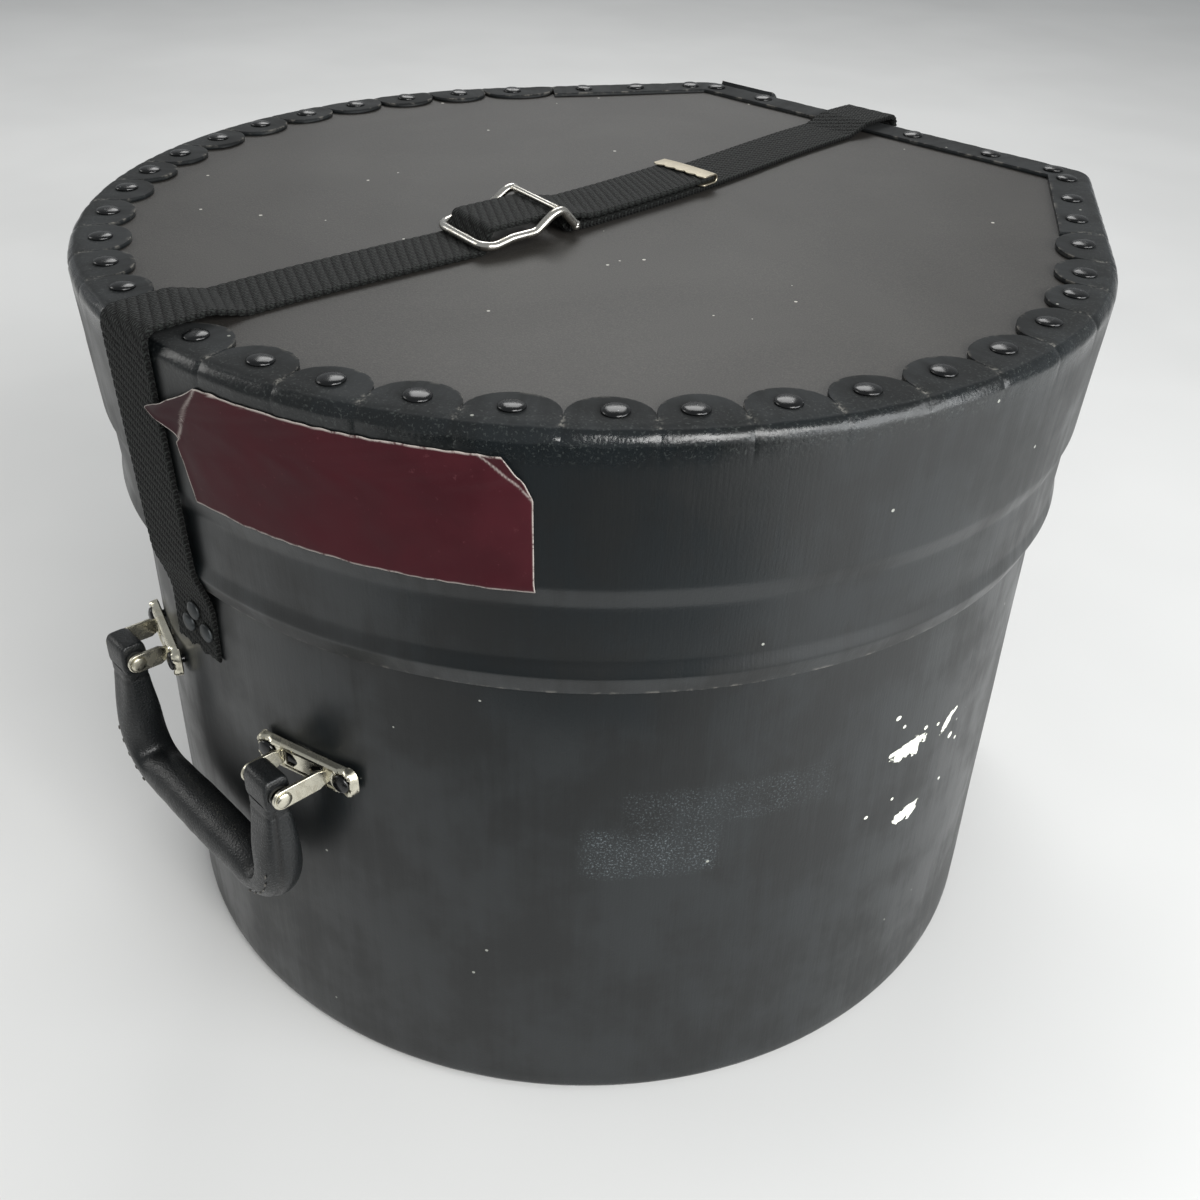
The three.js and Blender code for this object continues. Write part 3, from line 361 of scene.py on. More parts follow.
def thin_out(points: Array, count: int, weight: float) -> Array:
    """Keeps a number of points, more of them where the line bends.

    Each stretch counts as its length plus the weight times its turn in radians, and the
    points that stay are at even shares of that sum.

    Args:
        points: The points.
        count: How many stay.
        weight: What a turn of one radian counts for, in millimetres.

    Returns:
        The points that stay.
    """
    run = np.diff(points, axis=0)
    length = np.linalg.norm(run, axis=1)
    heading = run / np.maximum(length, 1e-9)[:, None]
    dots = np.clip(np.sum(heading[1:] * heading[:-1], axis=1), -1, 1)
    cost = length.copy()
    cost[1:] += weight * np.arccos(dots)
    along = np.concatenate([[0], np.cumsum(cost)])
    at = np.linspace(0, along[-1], count)
    return np.stack([np.interp(at, along, points[:, k]) for k in range(points.shape[1])], axis=1)


def arc(centre: tuple, radius: float, start: float, end: float, count: int) -> Array:
    """Points on an arc about a centre, from one angle to another in radians."""
    return np.array(centre) + radius * direction(np.linspace(start, end, count))


class Plan:
    """The case's outline: a circle, a flat side that touches it and a straight run to each corner."""

    def __init__(self, sizes: ShellSizes) -> None:
        """Samples the outline's reach, as a share of its radius, at many angles.

        Args:
            sizes: Sizes of the case.
        """
        half = sizes.flat_half / sizes.lid_radius
        self.half = half
        self.run_angle = math.pi / 2 - 2 * math.atan(half)
        self.corner_angle = math.atan2(1, half)
        corner = np.array([half, 1.0])
        run = direction(np.array(self.run_angle))
        cut = sizes.corner_round / sizes.lid_radius
        start = corner - (corner - run) / np.linalg.norm(corner - run) * cut
        end = corner - np.array([cut, 0])
        t = np.linspace(0, 1, 24)[:, None]
        bend = start * (1 - t) ** 2 + 2 * corner * t * (1 - t) + end * t**2
        straight = run + np.linspace(0, 1, 40)[:, None] * (start - run)
        flat = end + np.linspace(0, 1, 40)[:, None] * (np.array([0, 1.0]) - end)
        points = np.concatenate([straight, bend, flat])
        self.angles = np.arctan2(points[:, 1], points[:, 0])
        self.reaches = np.linalg.norm(points, axis=1)

    def folded(self, angle: Array) -> Array:
        """The same angle on the outline's right half."""
        a = np.arctan2(np.sin(angle), np.cos(angle))
        return np.where(a > math.pi / 2, math.pi - a, a)

    def share(self, angle: Array) -> Array:
        """Reach of the outline with its rounded corners, as a share of its radius."""
        a = self.folded(angle)
        return np.where(a <= self.run_angle, 1.0, np.interp(a, self.angles, self.reaches))

    def sharp(self, angle: Array) -> Array:
        """Reach of the outline with square corners, as a share of its radius.

        Args:
            angle: Angles in radians.

        Returns:
            The reach at each angle.
        """
        a = self.folded(angle)
        run = 1 / np.cos(np.clip(a - self.run_angle, 0, 1))
        flat = 1 / np.sin(np.maximum(a, self.corner_angle))
        return np.where(a > self.corner_angle, flat, np.where(a > self.run_angle, run, 1.0))


# Meshes


class Surface:
    """Collects grids and turned pieces and makes one mesh object of them."""

    def __init__(self) -> None:
        """Starts with nothing in it."""
        self.points: list[Array] = []
        self.faces: list[list[int]] = []
        self.uvs: list[Array] = []
        self.masks: list[Array] = []
        self.count = 0

    def grid(
        self,
        points: Array,
        uv: Array | None = None,
        closed: tuple = (False, False),
        masks: Array | None = None,
        caps: bool = False,
        holes: Array | None = None,
    ) -> None:
        """Adds a grid of points as quads.

        Args:
            points: Rows by columns by three coordinates, in millimetres.
            uv: Texture coordinates in millimetres, with one more row or column where closed.
            closed: Whether the last row, and the last column, join the first.
            masks: Rows by columns by three paint masks.
            caps: Whether the first and last rows, when closed across, are filled.
            holes: Cells that are left out, as rows by columns of True.
        """
        rows, cols = points.shape[:2]
        r, c = np.meshgrid(
            np.arange(rows if closed[0] else rows - 1),
            np.arange(cols if closed[1] else cols - 1),
            indexing="ij",
        )
        if holes is not None:
            keep = ~holes
            r, c = r[keep], c[keep]
        r, c = r.reshape(-1), c.reshape(-1)
        r1, c1 = (r + 1) % rows, (c + 1) % cols
        quads = np.stack([r * cols + c, r1 * cols + c, r1 * cols + c1, r * cols + c1], axis=1)
        if uv is None:
            uv = self._plain_uv(rows + closed[0], cols + closed[1])
        corners = np.stack([uv[r, c], uv[r + 1, c], uv[r + 1, c + 1], uv[r, c + 1]], axis=1)
        self.faces += (quads + self.count).tolist()
        self.uvs.append(corners.reshape(-1, 2))
        if caps:
            first = np.arange(cols)
            last = first + (rows - 1) * cols
            self.faces += [(first + self.count).tolist(), (last[::-1] + self.count).tolist()]
            self.uvs += [uv[0, :cols], uv[rows - 1, :cols][::-1]]
        self._keep(points.reshape(-1, 3), None if masks is None else masks.reshape(-1, 3))

    def turned(self, profile: Array, sides: int, place: Matrix) -> None:
        """Adds a piece that is turned about Z.

        Args:
            profile: Points of radius and height.
            sides: Number of sides.
            place: Where it goes.
        """
        grid = np.empty((len(profile), sides, 3))
        ring = direction(np.linspace(0, TURN, sides, endpoint=False))
        grid[..., :2] = np.maximum(profile[:, 0], 0.02)[:, None, None] * ring
        grid[..., 2] = profile[:, 1][:, None]
        self.grid(placed(grid, place), closed=ROUND, caps=True)

    def prism(self, outline: Array, thickness: float, place: Matrix) -> None:
        """Adds a flat piece.

        Args:
            outline: Its closed outline, as points of X and Y.
            thickness: Its thickness, half on each side of the outline's plane.
            place: Where it goes.
        """
        level = np.full((len(outline), 1), thickness / 2)
        both = np.stack([np.hstack([outline, -level]), np.hstack([outline, level])])
        self.grid(placed(both, place), closed=ROUND, caps=True)

    def rod(self, path: Array, radius: Sequence | float, sides: int, guide: Sequence) -> None:
        """Adds a closed rod along a path. The rest is as for a tube."""
        self.grid(tube(path, radius, sides, guide), closed=ROUND, caps=True)

    def warp(self, way: Callable[[Array], Array]) -> None:
        """Moves every point by a function of its place."""
        self.points = [way(points) for points in self.points]

    def build(self, name: str, material: bpy.types.Material, sharp: float = 35) -> bpy.types.Object:
        """Makes the mesh object.

        Args:
            name: Name of the object.
            material: Its material.
            sharp: Angle in degrees over which an edge is shaded sharp.

        Returns:
            The new object.
        """
        points = np.concatenate(self.points) * MM
        points[:, 1] += SHELL.middle_y * MM
        mesh = bpy.data.meshes.new(name)
        mesh.from_pydata(points.tolist(), [], self.faces)
        layer = mesh.uv_layers.new(name="UVMap")
        layer.data.foreach_set("uv", (np.concatenate(self.uvs) * MM).ravel())
        painted = mesh.attributes.new(MASKS, "FLOAT_COLOR", "POINT")
        masks = np.concatenate(self.masks)
        painted.data.foreach_set("color", np.column_stack([masks, np.ones(len(masks))]).ravel())
        mesh.validate()
        mesh.polygons.foreach_set("use_smooth", np.ones(len(mesh.polygons), bool))
        mesh.set_sharp_from_angle(angle=math.radians(sharp))
        mesh.materials.append(material)
        obj = bpy.data.objects.new(name, mesh)
        bpy.context.collection.objects.link(obj)
        return obj

    def _keep(self, points: Array, masks: Array | None) -> None:
        """Stores points with their masks.

        Args:
            points: The points.
            masks: Their paint masks, or none.
        """
        self.points.append(points)
        self.masks.append(np.zeros((len(points), 3)) if masks is None else masks)
        self.count += len(points)

    def _plain_uv(self, rows: int, cols: int) -> Array:
        """Texture coordinates for a piece whose material needs none."""
        grid = np.meshgrid(np.arange(rows), np.arange(cols), indexing="ij")
        return np.stack(grid, axis=-1).astype(float)


def placed(points: Array, place: Matrix) -> Array:
    """Points moved to a place."""
    turn = np.array(place)
    return points @ turn[:3, :3].T + turn[:3, 3]


def blank_masks(grid: Array) -> Array:
    """Paint masks of a grid of points, with nothing painted."""
    return np.zeros((*grid.shape[:2], 3))


def place_on_wall(angle: float, out: float, z: float, across: float = 0.0) -> Matrix:
    """The place of a piece whose Z axis stands out of the wall at an angle in radians.

    Args:
        angle: Angle about the middle, in radians.
        out: How far out it is.
        z: Its height.
        across: How far along the wall it is.

    Returns:
        The place.
    """
    radial = Vector((math.cos(angle), math.sin(angle), 0))
    along = Vector((-math.sin(angle), math.cos(angle), 0))
    turn = Matrix((along, Vector((0, 0, 1)), radial)).transposed().to_4x4()
    spot = radial * out + along * across + Vector((0, 0, z))
    return Matrix.Translation(spot) @ turn


def tube(path: Array, radius: Sequence | float, sides: int, guide: Sequence) -> Array:
    """Points of a tube round a path.

    At each point of the path, one axis of the round lies square to the path and to the
    guide, and the other is square to both.

    Args:
        path: Points of the path.
        radius: Radius at each point, or one for all.
        sides: Number of sides.
        guide: Direction that the path never follows.

    Returns:
        Path points by sides by three coordinates.
    """
    heading = np.gradient(path, axis=0)
    heading /= np.linalg.norm(heading, axis=1)[:, None]
    first = np.cross(heading, np.array(guide, float))
    first /= np.linalg.norm(first, axis=1)[:, None]
    second = np.cross(first, heading)
    angles = np.linspace(0, TURN, sides, endpoint=False)
    size = np.broadcast_to(np.asarray(radius, float), (len(path),))[:, None, None]
    around = first[:, None] * np.cos(angles)[None, :, None]
    around = around + second[:, None] * np.sin(angles)[None, :, None]
    return path[:, None] + size * around


def dome(radius: float, height: float, count: int = 10) -> Array:
    """Profile of a low rivet head with a short upright edge, from its rim to its top.

    Args:
        radius: Its radius.
        height: Its height.
        count: Number of points over its top.

    Returns:
        Points of radius and height.
    """
    t = np.linspace(0, 1, count)
    out = radius * np.cos(t * math.pi / 2)
    up = height * (0.22 + 0.78 * np.sin(t * math.pi / 2) ** 0.9)
    return np.concatenate([[[radius * 0.96, 0], [radius, height * 0.1]], np.stack([out, up], axis=1)])


def dress(obj: bpy.types.Object, body: Body, slot: Slot, *nodes: str) -> bpy.types.Object:
    """Ties a finished piece to a body and hides the nodes that it stands for.

    Args:
        obj: The piece.
        body: The body that it rides.
        slot: Its material slot; not used.
        nodes: Names of the nodes.

    Returns:
        The same piece.
    """
    if nodes:
        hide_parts(*nodes)
    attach(obj, body.value)
    log.info("%s: %d faces, rides %s", obj.name, len(obj.data.polygons), body.value)
    return obj


# Shader graphs


def paint(text: str) -> tuple:
    """Linear colour from a hexadecimal display colour."""
    parts = [int(text[i:i + 2], 16) / 255 for i in (1, 3, 5)]
    return (*[c / 12.92 if c <= 0.04045 else ((c + 0.055) / 1.055) ** 2.4 for c in parts], 1.0)


class Graph:
    """Adds and joins shader nodes in a tree."""

    def __init__(self, tree: bpy.types.NodeTree) -> None:
        """Works on a tree."""
        self.tree = tree

    def feed(self, node: bpy.types.Node, inputs: dict) -> bpy.types.Node:
        """Sets a node's inputs.

        Args:
            node: The node.
            inputs: Sockets to join or plain values, by input name or number.

        Returns:
            The same node.
        """
        for key, value in inputs.items():
            if isinstance(value, Socket):
                self.tree.links.new(value, node.inputs[key])
            else:
                node.inputs[key].default_value = value
        return node

    def node(self, kind: str, inputs: dict | None = None, **settings) -> bpy.types.Node:
        """Adds a node.

        Args:
            kind: Type of the node without its prefix.
            inputs: Values or sockets by input name or number.
            settings: Properties of the node.

        Returns:
            The node.
        """
        made = self.tree.nodes.new("ShaderNode" + kind)
        for key, value in settings.items():
            setattr(made, key, value)
        return self.feed(made, inputs or {})

    def math(self, operation: str, first: Value, second: Value = 0.0, clamp: bool = False) -> Socket:
        """One sum on two values, cut to lie between 0 and 1 if clamp is set."""
        return self.node("Math", {0: first, 1: second}, operation=operation, use_clamp=clamp).outputs[0]

    def times(self, first: Value, second: Value) -> Socket:
        """The product of two values."""
        return self.math("MULTIPLY", first, second)

    def plus(self, first: Value, second: Value) -> Socket:
        """The sum of two values."""
        return self.math("ADD", first, second)

    def minus(self, first: Value, second: Value) -> Socket:
        """The first value less the second."""
        return self.math("SUBTRACT", first, second)

    def span(
        self, value: Value, low: Value, high: Value, to_low: float = 0.0, to_high: float = 1.0
    ) -> Socket:
        """Maps a range of a value onto another, smoothly and cut at both ends."""
        inputs = {"Value": value, 1: low, 2: high, 3: to_low, 4: to_high}
        return self.node("MapRange", inputs, interpolation_type="SMOOTHSTEP").outputs[0]

    def mix(self, share: Value, first: Value, second: Value) -> Socket:
        """Mixes two colours."""
        return self.node("Mix", {0: share, 6: first, 7: second}, data_type="RGBA").outputs[2]

    def noise(
        self, vector: Socket, scale: float, detail: float = 3, rough: float = 0.55, warp: float = 0
    ) -> Socket:
        """Fractal noise from 0 to 1."""
        inputs = {"Vector": vector, "Scale": scale, "Detail": detail, "Roughness": rough, "Distortion": warp}
        return self.node("TexNoise", inputs).outputs["Fac"]

    def cells(self, vector: Socket, scale: float, feature: str = "F1") -> Socket:
        """Distance to the nearest middle of scattered cells."""
        made = self.node("TexVoronoi", {"Vector": vector, "Scale": scale}, feature=feature)
        return made.outputs["Distance"]

    def stretch(self, vector: Socket, x: float, y: float, z: float = 1.0) -> Socket:
        """Scales a vector's three parts."""
        return self.node("Mapping", {"Vector": vector, "Scale": (x, y, z)}, vector_type="POINT").outputs[0]

    def call(self, group: bpy.types.NodeTree, inputs: dict) -> bpy.types.Node:
        """Adds a shared node group."""
        return self.node("Group", inputs, node_tree=group)


def new_group(name: str, inputs: dict, outputs: Sequence[str]) -> tuple:
    """Starts a shared node group.

    Args:
        name: Name of the group.
        inputs: Input names with their default, or None for a vector.
        outputs: Names of the number outputs.

    Returns:
        The graph, the input sockets by name and the output node.
    """
    tree = bpy.data.node_groups.new(name, "ShaderNodeTree")
    for key, value in inputs.items():
        kind = "NodeSocketVector" if value is None else "NodeSocketFloat"
        socket = tree.interface.new_socket(key, in_out="INPUT", socket_type=kind)
        if value is not None:
            socket.default_value = value
    for key in outputs:
        tree.interface.new_socket(key, in_out="OUTPUT", socket_type="NodeSocketFloat")
    entry = tree.nodes.new("NodeGroupInput")
    out = tree.nodes.new("NodeGroupOutput")
    return Graph(tree), entry.outputs, out


def grain_group() -> bpy.types.NodeTree:
    """Fine grain of a pressed sheet: small cells plus soft noise, and a mottle for its colour."""
    g, given, out = new_group("sheet_grain", {"Vector": None, "Size": 900.0}, ("Height", "Mottle"))
    cells = g.node("TexVoronoi", {"Vector": given["Vector"], "Scale": given["Size"]}).outputs["Distance"]
    fine = g.node("TexNoise", {"Vector": given["Vector"], "Scale": given["Size"], "Detail": 4}).outputs["Fac"]
    broad = g.noise(given["Vector"], 26, 4, 0.6)
    g.feed(out, {"Height": g.plus(g.times(cells, 0.5), fine)})
    g.feed(out, {"Mottle": g.span(broad, 0.3, 0.7)})
    return g.tree


def speck_group() -> bpy.types.NodeTree:
    """Scattered specks: the middles of cells, kept where the cell's random colour is high."""
    g, given, out = new_group("dust_specks", {"Vector": None, "Size": 260.0, "Amount": 0.5}, ("Mask",))
    dots = g.node("TexVoronoi", {"Vector": given["Vector"], "Scale": given["Size"]})
    small = g.math("LESS_THAN", dots.outputs["Distance"], 0.13)
    pick = g.node("SeparateColor", {0: dots.outputs["Color"]}).outputs[0]
    chosen = g.math("GREATER_THAN", pick, g.minus(1, given["Amount"]))
    g.feed(out, {"Mask": g.times(small, chosen)})
    return g.tree


def scratch_group() -> bpy.types.NodeTree:
    """Hair scratches: thin bands of warped noise that cross at two angles."""
    g, given, out = new_group("hair_scratches", {"Vector": None, "Size": 30.0}, ("Mask",))
    total = None
    for k, angle in enumerate((0.5, 2.0)):
        slender = {"Vector": given["Vector"], "Rotation": (0, 0, angle), "Scale": (1, 0.07, 0.35)}
        turned = g.node("Mapping", slender).outputs[0]
        warped = {"Vector": turned, "Scale": given["Size"], "Detail": 1, "Distortion": 0.4 + k}
        lines = g.node("TexNoise", warped).outputs["Fac"]
        near = g.math("ABSOLUTE", g.minus(lines, 0.5))
        band = g.math("SUBTRACT", 1, g.math("DIVIDE", near, 0.0035), clamp=True)
        gate = g.span(g.noise(given["Vector"], 14 + 5 * k, 2), 0.56, 0.7)
        part = g.times(band, gate)
        total = part if total is None else g.math("MAXIMUM", total, part)
    g.feed(out, {"Mask": total})
    return g.tree


def weave_group(sizes: StrapSizes) -> bpy.types.NodeTree:
    """The webbing's threads.

    Columns of short stitches run along the strap and slant to the left and right in turn.
    A stitch is the product of a sine across its column and a sine along it.

    Args:
        sizes: Sizes of the webbing.

    Returns:
        The node group.
    """
    g, given, out = new_group("webbing_weave", {"Vector": None}, ("GapShade", "Strand"))
    split = g.node("SeparateXYZ", {0: given["Vector"]})
    across = g.math("DIVIDE", split.outputs[0], sizes.column * MM)
    along = g.math("DIVIDE", split.outputs[1], sizes.stitch * MM)
    column = g.math("FLOOR", across)
    inside = g.minus(g.minus(across, column), 0.5)
    side = g.minus(g.times(g.math("MODULO", g.plus(column, 40), 2), 2), 1)
    slant = g.times(g.times(side, inside), 0.9)
    phase = g.math("FRACT", g.plus(along, slant))
    length = g.math("SINE", g.times(phase, math.pi))
    width = g.math("COSINE", g.times(inside, math.pi))
    stitch = g.math("POWER", g.times(length, width), 0.6)
    shift = g.plus(split.outputs[1], g.times(split.outputs[0], sizes.rib_slant))
    rib = g.math("DIVIDE", shift, sizes.rib_pitch * MM)
    ridge = g.math("POWER", g.math("ABSOLUTE", g.math("SINE", g.times(rib, math.pi))), RIB_POWER)
    # painted shade mask: 1 in the gaps between stitches and between ribs
    gap = g.minus(1, g.times(g.span(stitch, 0.3, 0.9), g.span(ridge, 0.3, 0.85, 0.1, 1)))
    g.feed(out, {"GapShade": gap, "Strand": stitch})
    return g.tree


@dataclass(frozen=True)
class Finish:
    """A finish: its two colours, how it shines, and its bump with the relief in millimetres."""

    base: str
    second: str
    rough: float
    metal: float = 1.0
    bump: float = 0.05
    relief: float = 0.05


class Skin(Graph):
    """A material's own graph, with its shader and the sockets that its pattern starts from."""

    def __init__(self, name: str) -> None:
        """Makes the material.

        Args:
            name: Name of the material.
        """
        self.material = bpy.data.materials.new(name)
        self.material.use_nodes = True
        self.material.node_tree.nodes.clear()
        super().__init__(self.material.node_tree)
        self.shader = self.node("BsdfPrincipled")
        self.node("OutputMaterial", {0: self.shader.outputs[0]})
        where = self.node("TexCoord")
        self.spot, self.uv = where.outputs["Object"], where.outputs["UV"]
        painted = self.node("Attribute", attribute_name=MASKS)
        self.masks = list(self.node("SeparateColor", {0: painted.outputs["Color"]}).outputs)

    def done(
        self, color: Value, rough: Value, height: Value, bump: float, relief: float
    ) -> bpy.types.Material:
        """Joins the finished pattern to the shader.

        Args:
            color: Colour of the surface.
            rough: Its roughness.
            height: Its height, from about 0 to 1.
            bump: Strength of the bump.
            relief: How far the height reaches, in millimetres.

        Returns:
            The material.
        """
        self.feed(self.shader, {"Base Color": color, "Roughness": rough})
        lit = self.node("Bump", {"Strength": bump, "Distance": relief * MM, "Height": height})
        self.feed(self.shader, {"Normal": lit.outputs[0]})
        return self.material


class Finishes:
    """Makes and keeps the object's materials."""

    FIBRE = Finish("#0c0f10", "#161a1c", 0.36, bump=0.35, relief=0.12)
    BOARD = Finish("#252321", "#2b2926", 0.55, bump=0.4, relief=0.08)
    ENAMEL = Finish("#070809", "#0d0e0f", 0.2, bump=0.2, relief=0.1)
    STRAP_RIVET = Finish("#2a2d2e", "#4a4e50", 0.4, metal=0.6)
    # the webbing's second colour is a painted highlight on the strands' tops
    WEBBING = Finish("#060707", "#2a2d2b", 0.65, bump=0.9, relief=0.3)
    NICKEL = Finish("#d9d6cf", "#b8b4aa", 0.16)
    CLAMP = Finish("#c9c0ac", "#b3aa97", 0.36)
    PLATE = Finish("#dedac9", "#c6c1af", 0.22)
    STEEL = Finish("#8c8d8c", "#6f706f", 0.42)
    LEATHER = Finish("#0e1011", "#1c1f20", 0.31, bump=0.7, relief=0.2)
    LABEL = Finish("#330811", "#3c0b15", 0.52, bump=0.3, relief=0.1)

    def __init__(self, strap: StrapSizes) -> None:
        """Builds the shared groups and every material.

        Args:
            strap: Sizes of the webbing, whose weave the material follows.
        """
        self.grain = grain_group()
        self.specks = speck_group()
        self.scratches = scratch_group()
        self.weave = weave_group(strap)
        self.fibre = self.sheet("fibre", self.FIBRE, marks=False)
        self.wall = self.sheet("case_fibre", self.FIBRE, marks=True)
        self.board = self.panel("board", self.BOARD)
        self.enamel = self.gloss("rivet_enamel", self.ENAMEL)
        self.strap_rivet = self.metal("strap_rivet", self.STRAP_RIVET)
        self.webbing = self.cloth("webbing", self.WEBBING)
        self.nickel = self.metal("nickel", self.NICKEL)
        self.clamp = self.metal("clamp_nickel", self.CLAMP)
        self.plate = self.metal("plate_nickel", self.PLATE)
        self.steel = self.metal("steel", self.STEEL)
        self.leather = self.hide("leather", self.LEATHER)
        self.label = self.paper("label", self.LABEL)

    def sheet(self, name: str, finish: Finish, marks: bool) -> bpy.types.Material:
        """Black fibre sheet, rougher on its level top and shinier on the rolled rim, whose lighter flecks
        paint both wear and a sparkling highlight.

        Args:
            name: Name of the material.
            finish: Its colours and shine.
            marks: Whether the case wall's chips and tape traces show.

        Returns:
            The material. Its masks are raw edge, pebbled rim and frayed notch.
        """
        g = Skin(name)
        raw, rim, notch = g.masks
        grain = g.call(self.grain, {"Vector": g.spot, "Size": 1100.0})
        upright = g.noise(g.stretch(g.uv, 260, 14), 1, 3, 0.6)
        tone = g.times(g.plus(grain.outputs["Mottle"], upright), 0.5)
        color = g.mix(g.span(tone, 0.3, 0.75), paint(finish.base), paint(finish.second))
        crackle = g.minus(1, g.cells(g.spot, 950))
        wrinkle = g.noise(g.spot, 700, 5, 0.7, 0.6)
        pebble = g.plus(g.times(crackle, 0.6), wrinkle)
        brushed = g.times(g.noise(g.stretch(g.uv, 1100, 70), 1, 3, 0.6), 0.6)
        height = g.plus(g.times(grain.outputs["Height"], 0.3), brushed)
        height = g.plus(height, g.times(pebble, g.times(rim, 0.9)))
        # lighter flecks on the rolled rim: partly wear, partly a painted sparkle highlight
        worn = g.times(g.span(g.noise(g.spot, 1100, 4, 0.7), 0.55, 0.66), g.times(rim, 0.3))
        color = g.mix(worn, color, paint(WORN_RIM_AND_SPARKLE))
        frayed = g.times(notch, g.span(g.noise(g.spot, 700, 5, 0.7), 0.47, 0.6))
        color = g.mix(frayed, color, paint(FRAYED_FIBRE))
        edge = g.times(raw, g.span(g.noise(g.spot, 240, 4, 0.6), 0.5, 0.64))
        color = g.mix(edge, color, paint(RAW_FIBRE))
        dust = g.call(self.specks, {"Vector": g.spot, "Size": 240.0, "Amount": 0.022})
        color = g.mix(g.times(dust.outputs[0], 0.7), color, paint(PALE_DUST))
        rough = g.span(tone, 0.2, 0.8, finish.rough + 0.1, finish.rough - 0.06)
        level = g.node("SeparateXYZ", {0: g.spot}).outputs[2]
        on_top = g.span(level, (SHELL.top - 1.1) * MM, (SHELL.top - 0.3) * MM)
        on_roll = g.times(rim, g.minus(1, on_top))
        rough = g.minus(rough, g.times(on_roll, 0.15))
        rough = g.plus(rough, g.times(on_top, 0.48))
        if marks:
            color, rough = self.wall_marks(g, color, rough)
        return g.done(color, rough, height, finish.bump, finish.relief * 1.6)

    def wall_marks(self, g: Skin, color: Socket, rough: Socket) -> tuple:
        """Chips in the wall's black skin, and the grey traces of tapes that were pulled off.

        A chip is a slanted oval whose edge is broken by noise. A tape's trace is a box
        with soft edges, filled with fine specks.

        Args:
            g: The material's graph.
            color: Colour of the bare wall.
            rough: Roughness of the bare wall.

        Returns:
            The colour and the roughness with the marks.
        """
        jag = g.noise(g.uv, 420, 4, 0.65)
        chips = None
        for mark in WALL_CHIPS:
            oval = {
                "Vector": g.uv,
                "Location": (mark.arc * MM, mark.z * MM, 0),
                "Rotation": (0, 0, math.radians(mark.slant)),
                "Scale": (mark.length * MM / 2, mark.width * MM / 2, 1),
            }
            away = g.node("Mapping", oval, vector_type="TEXTURE").outputs[0]
            reach = g.node("VectorMath", {0: away}, operation="LENGTH").outputs["Value"]
            broken = g.plus(reach, g.times(g.minus(jag, 0.5), 1.8))
            one = g.math("LESS_THAN", broken, 1.0)
            chips = one if chips is None else g.math("MAXIMUM", chips, one)
        color = g.mix(chips, color, paint(BARE_FIBRE))
        split = g.node("SeparateXYZ", {0: g.uv})
        trace = 0.0
        for tape, share in TAPE_TRACES:
            in_u = g.math("ABSOLUTE", g.minus(split.outputs[0], tape.arc * MM))
            in_v = g.math("ABSOLUTE", g.minus(split.outputs[1], tape.z * MM))
            across = g.span(in_u, (tape.length / 2 + 3) * MM, (tape.length / 2 - 3) * MM, 0, share)
            upward = g.span(in_v, (tape.width / 2 + 2) * MM, (tape.width / 2 - 2) * MM)
            trace = g.math("MAXIMUM", g.times(across, upward), trace)
        fine = g.span(g.noise(g.uv, 1300, 5, 0.75), 0.52, 0.68)
        broad = g.span(g.noise(g.uv, 75, 3), 0.35, 0.65, 0.3, 0.8)
        trace = g.times(g.times(trace, fine), broad)
        color = g.mix(trace, color, paint(TAPE_GLUE))
        return color, g.plus(rough, g.times(g.plus(trace, chips), 0.35))

    def panel(self, name: str, finish: Finish) -> bpy.types.Material:
        """Dark board with a fine grain, pale specks and soft rubs.

        Args:
            name: Name of the material.
            finish: Its colours and shine.

        Returns:
            The material.
        """
        g = Skin(name)
        grain = g.call(self.grain, {"Vector": g.spot, "Size": 1500.0})
        rub = g.span(g.noise(g.spot, 9, 4, 0.6, 0.8), 0.3, 0.75)
        color = g.mix(rub, paint(finish.base), paint(finish.second))
        speckle = g.span(g.noise(g.spot, 2400, 3, 0.7), 0.42, 0.66)
        color = g.mix(g.times(speckle, 0.3), color, paint(BOARD_SPECKLE))
        dust = g.call(self.specks, {"Vector": g.spot, "Size": 210.0, "Amount": 0.03})
        color = g.mix(dust.outputs[0], color, paint(BOARD_DUST))
        rough = g.span(rub, 0, 1, finish.rough + 0.012, finish.rough - 0.012)
        return g.done(color, rough, grain.outputs["Height"], finish.bump, finish.relief)

    def gloss(self, name: str, finish: Finish) -> bpy.types.Material:
        """Black enamel with dust and small rubs.

        Args:
            name: Name of the material.
            finish: Its colours and shine.

        Returns:
            The material.
        """
        g = Skin(name)
        rub = g.span(g.noise(g.spot, 420, 4, 0.6), 0.45, 0.75)
        color = g.mix(rub, paint(finish.base), paint(finish.second))
        dust = g.call(self.specks, {"Vector": g.spot, "Size": 600.0, "Amount": 0.05})
        color = g.mix(g.times(dust.outputs[0], 0.6), color, paint(ENAMEL_DUST))
        rough = g.span(rub, 0, 1, finish.rough, finish.rough + 0.18)
        return g.done(color, rough, g.noise(g.spot, 260, 2), finish.bump, finish.relief)

    def metal(self, name: str, finish: Finish) -> bpy.types.Material:
        """Plated metal with tarnish and hair scratches.

        Args:
            name: Name of the material.
            finish: Its colours and shine.

        Returns:
            The material.
        """
        g = Skin(name)
        stain = g.span(g.noise(g.spot, 190, 5, 0.65, 0.6), 0.42, 0.72)
        color = g.mix(stain, paint(finish.base), paint(finish.second))
        scratch = g.call(self.scratches, {"Vector": g.spot, "Size": 160.0})
        color = g.mix(g.times(scratch.outputs[0], 0.35), color, paint(finish.second))
        g.shader.inputs["Metallic"].default_value = finish.metal
        rough = g.span(stain, 0, 1, finish.rough, finish.rough + 0.16)
        return g.done(color, rough, g.noise(g.spot, 330, 3), finish.bump, finish.relief)

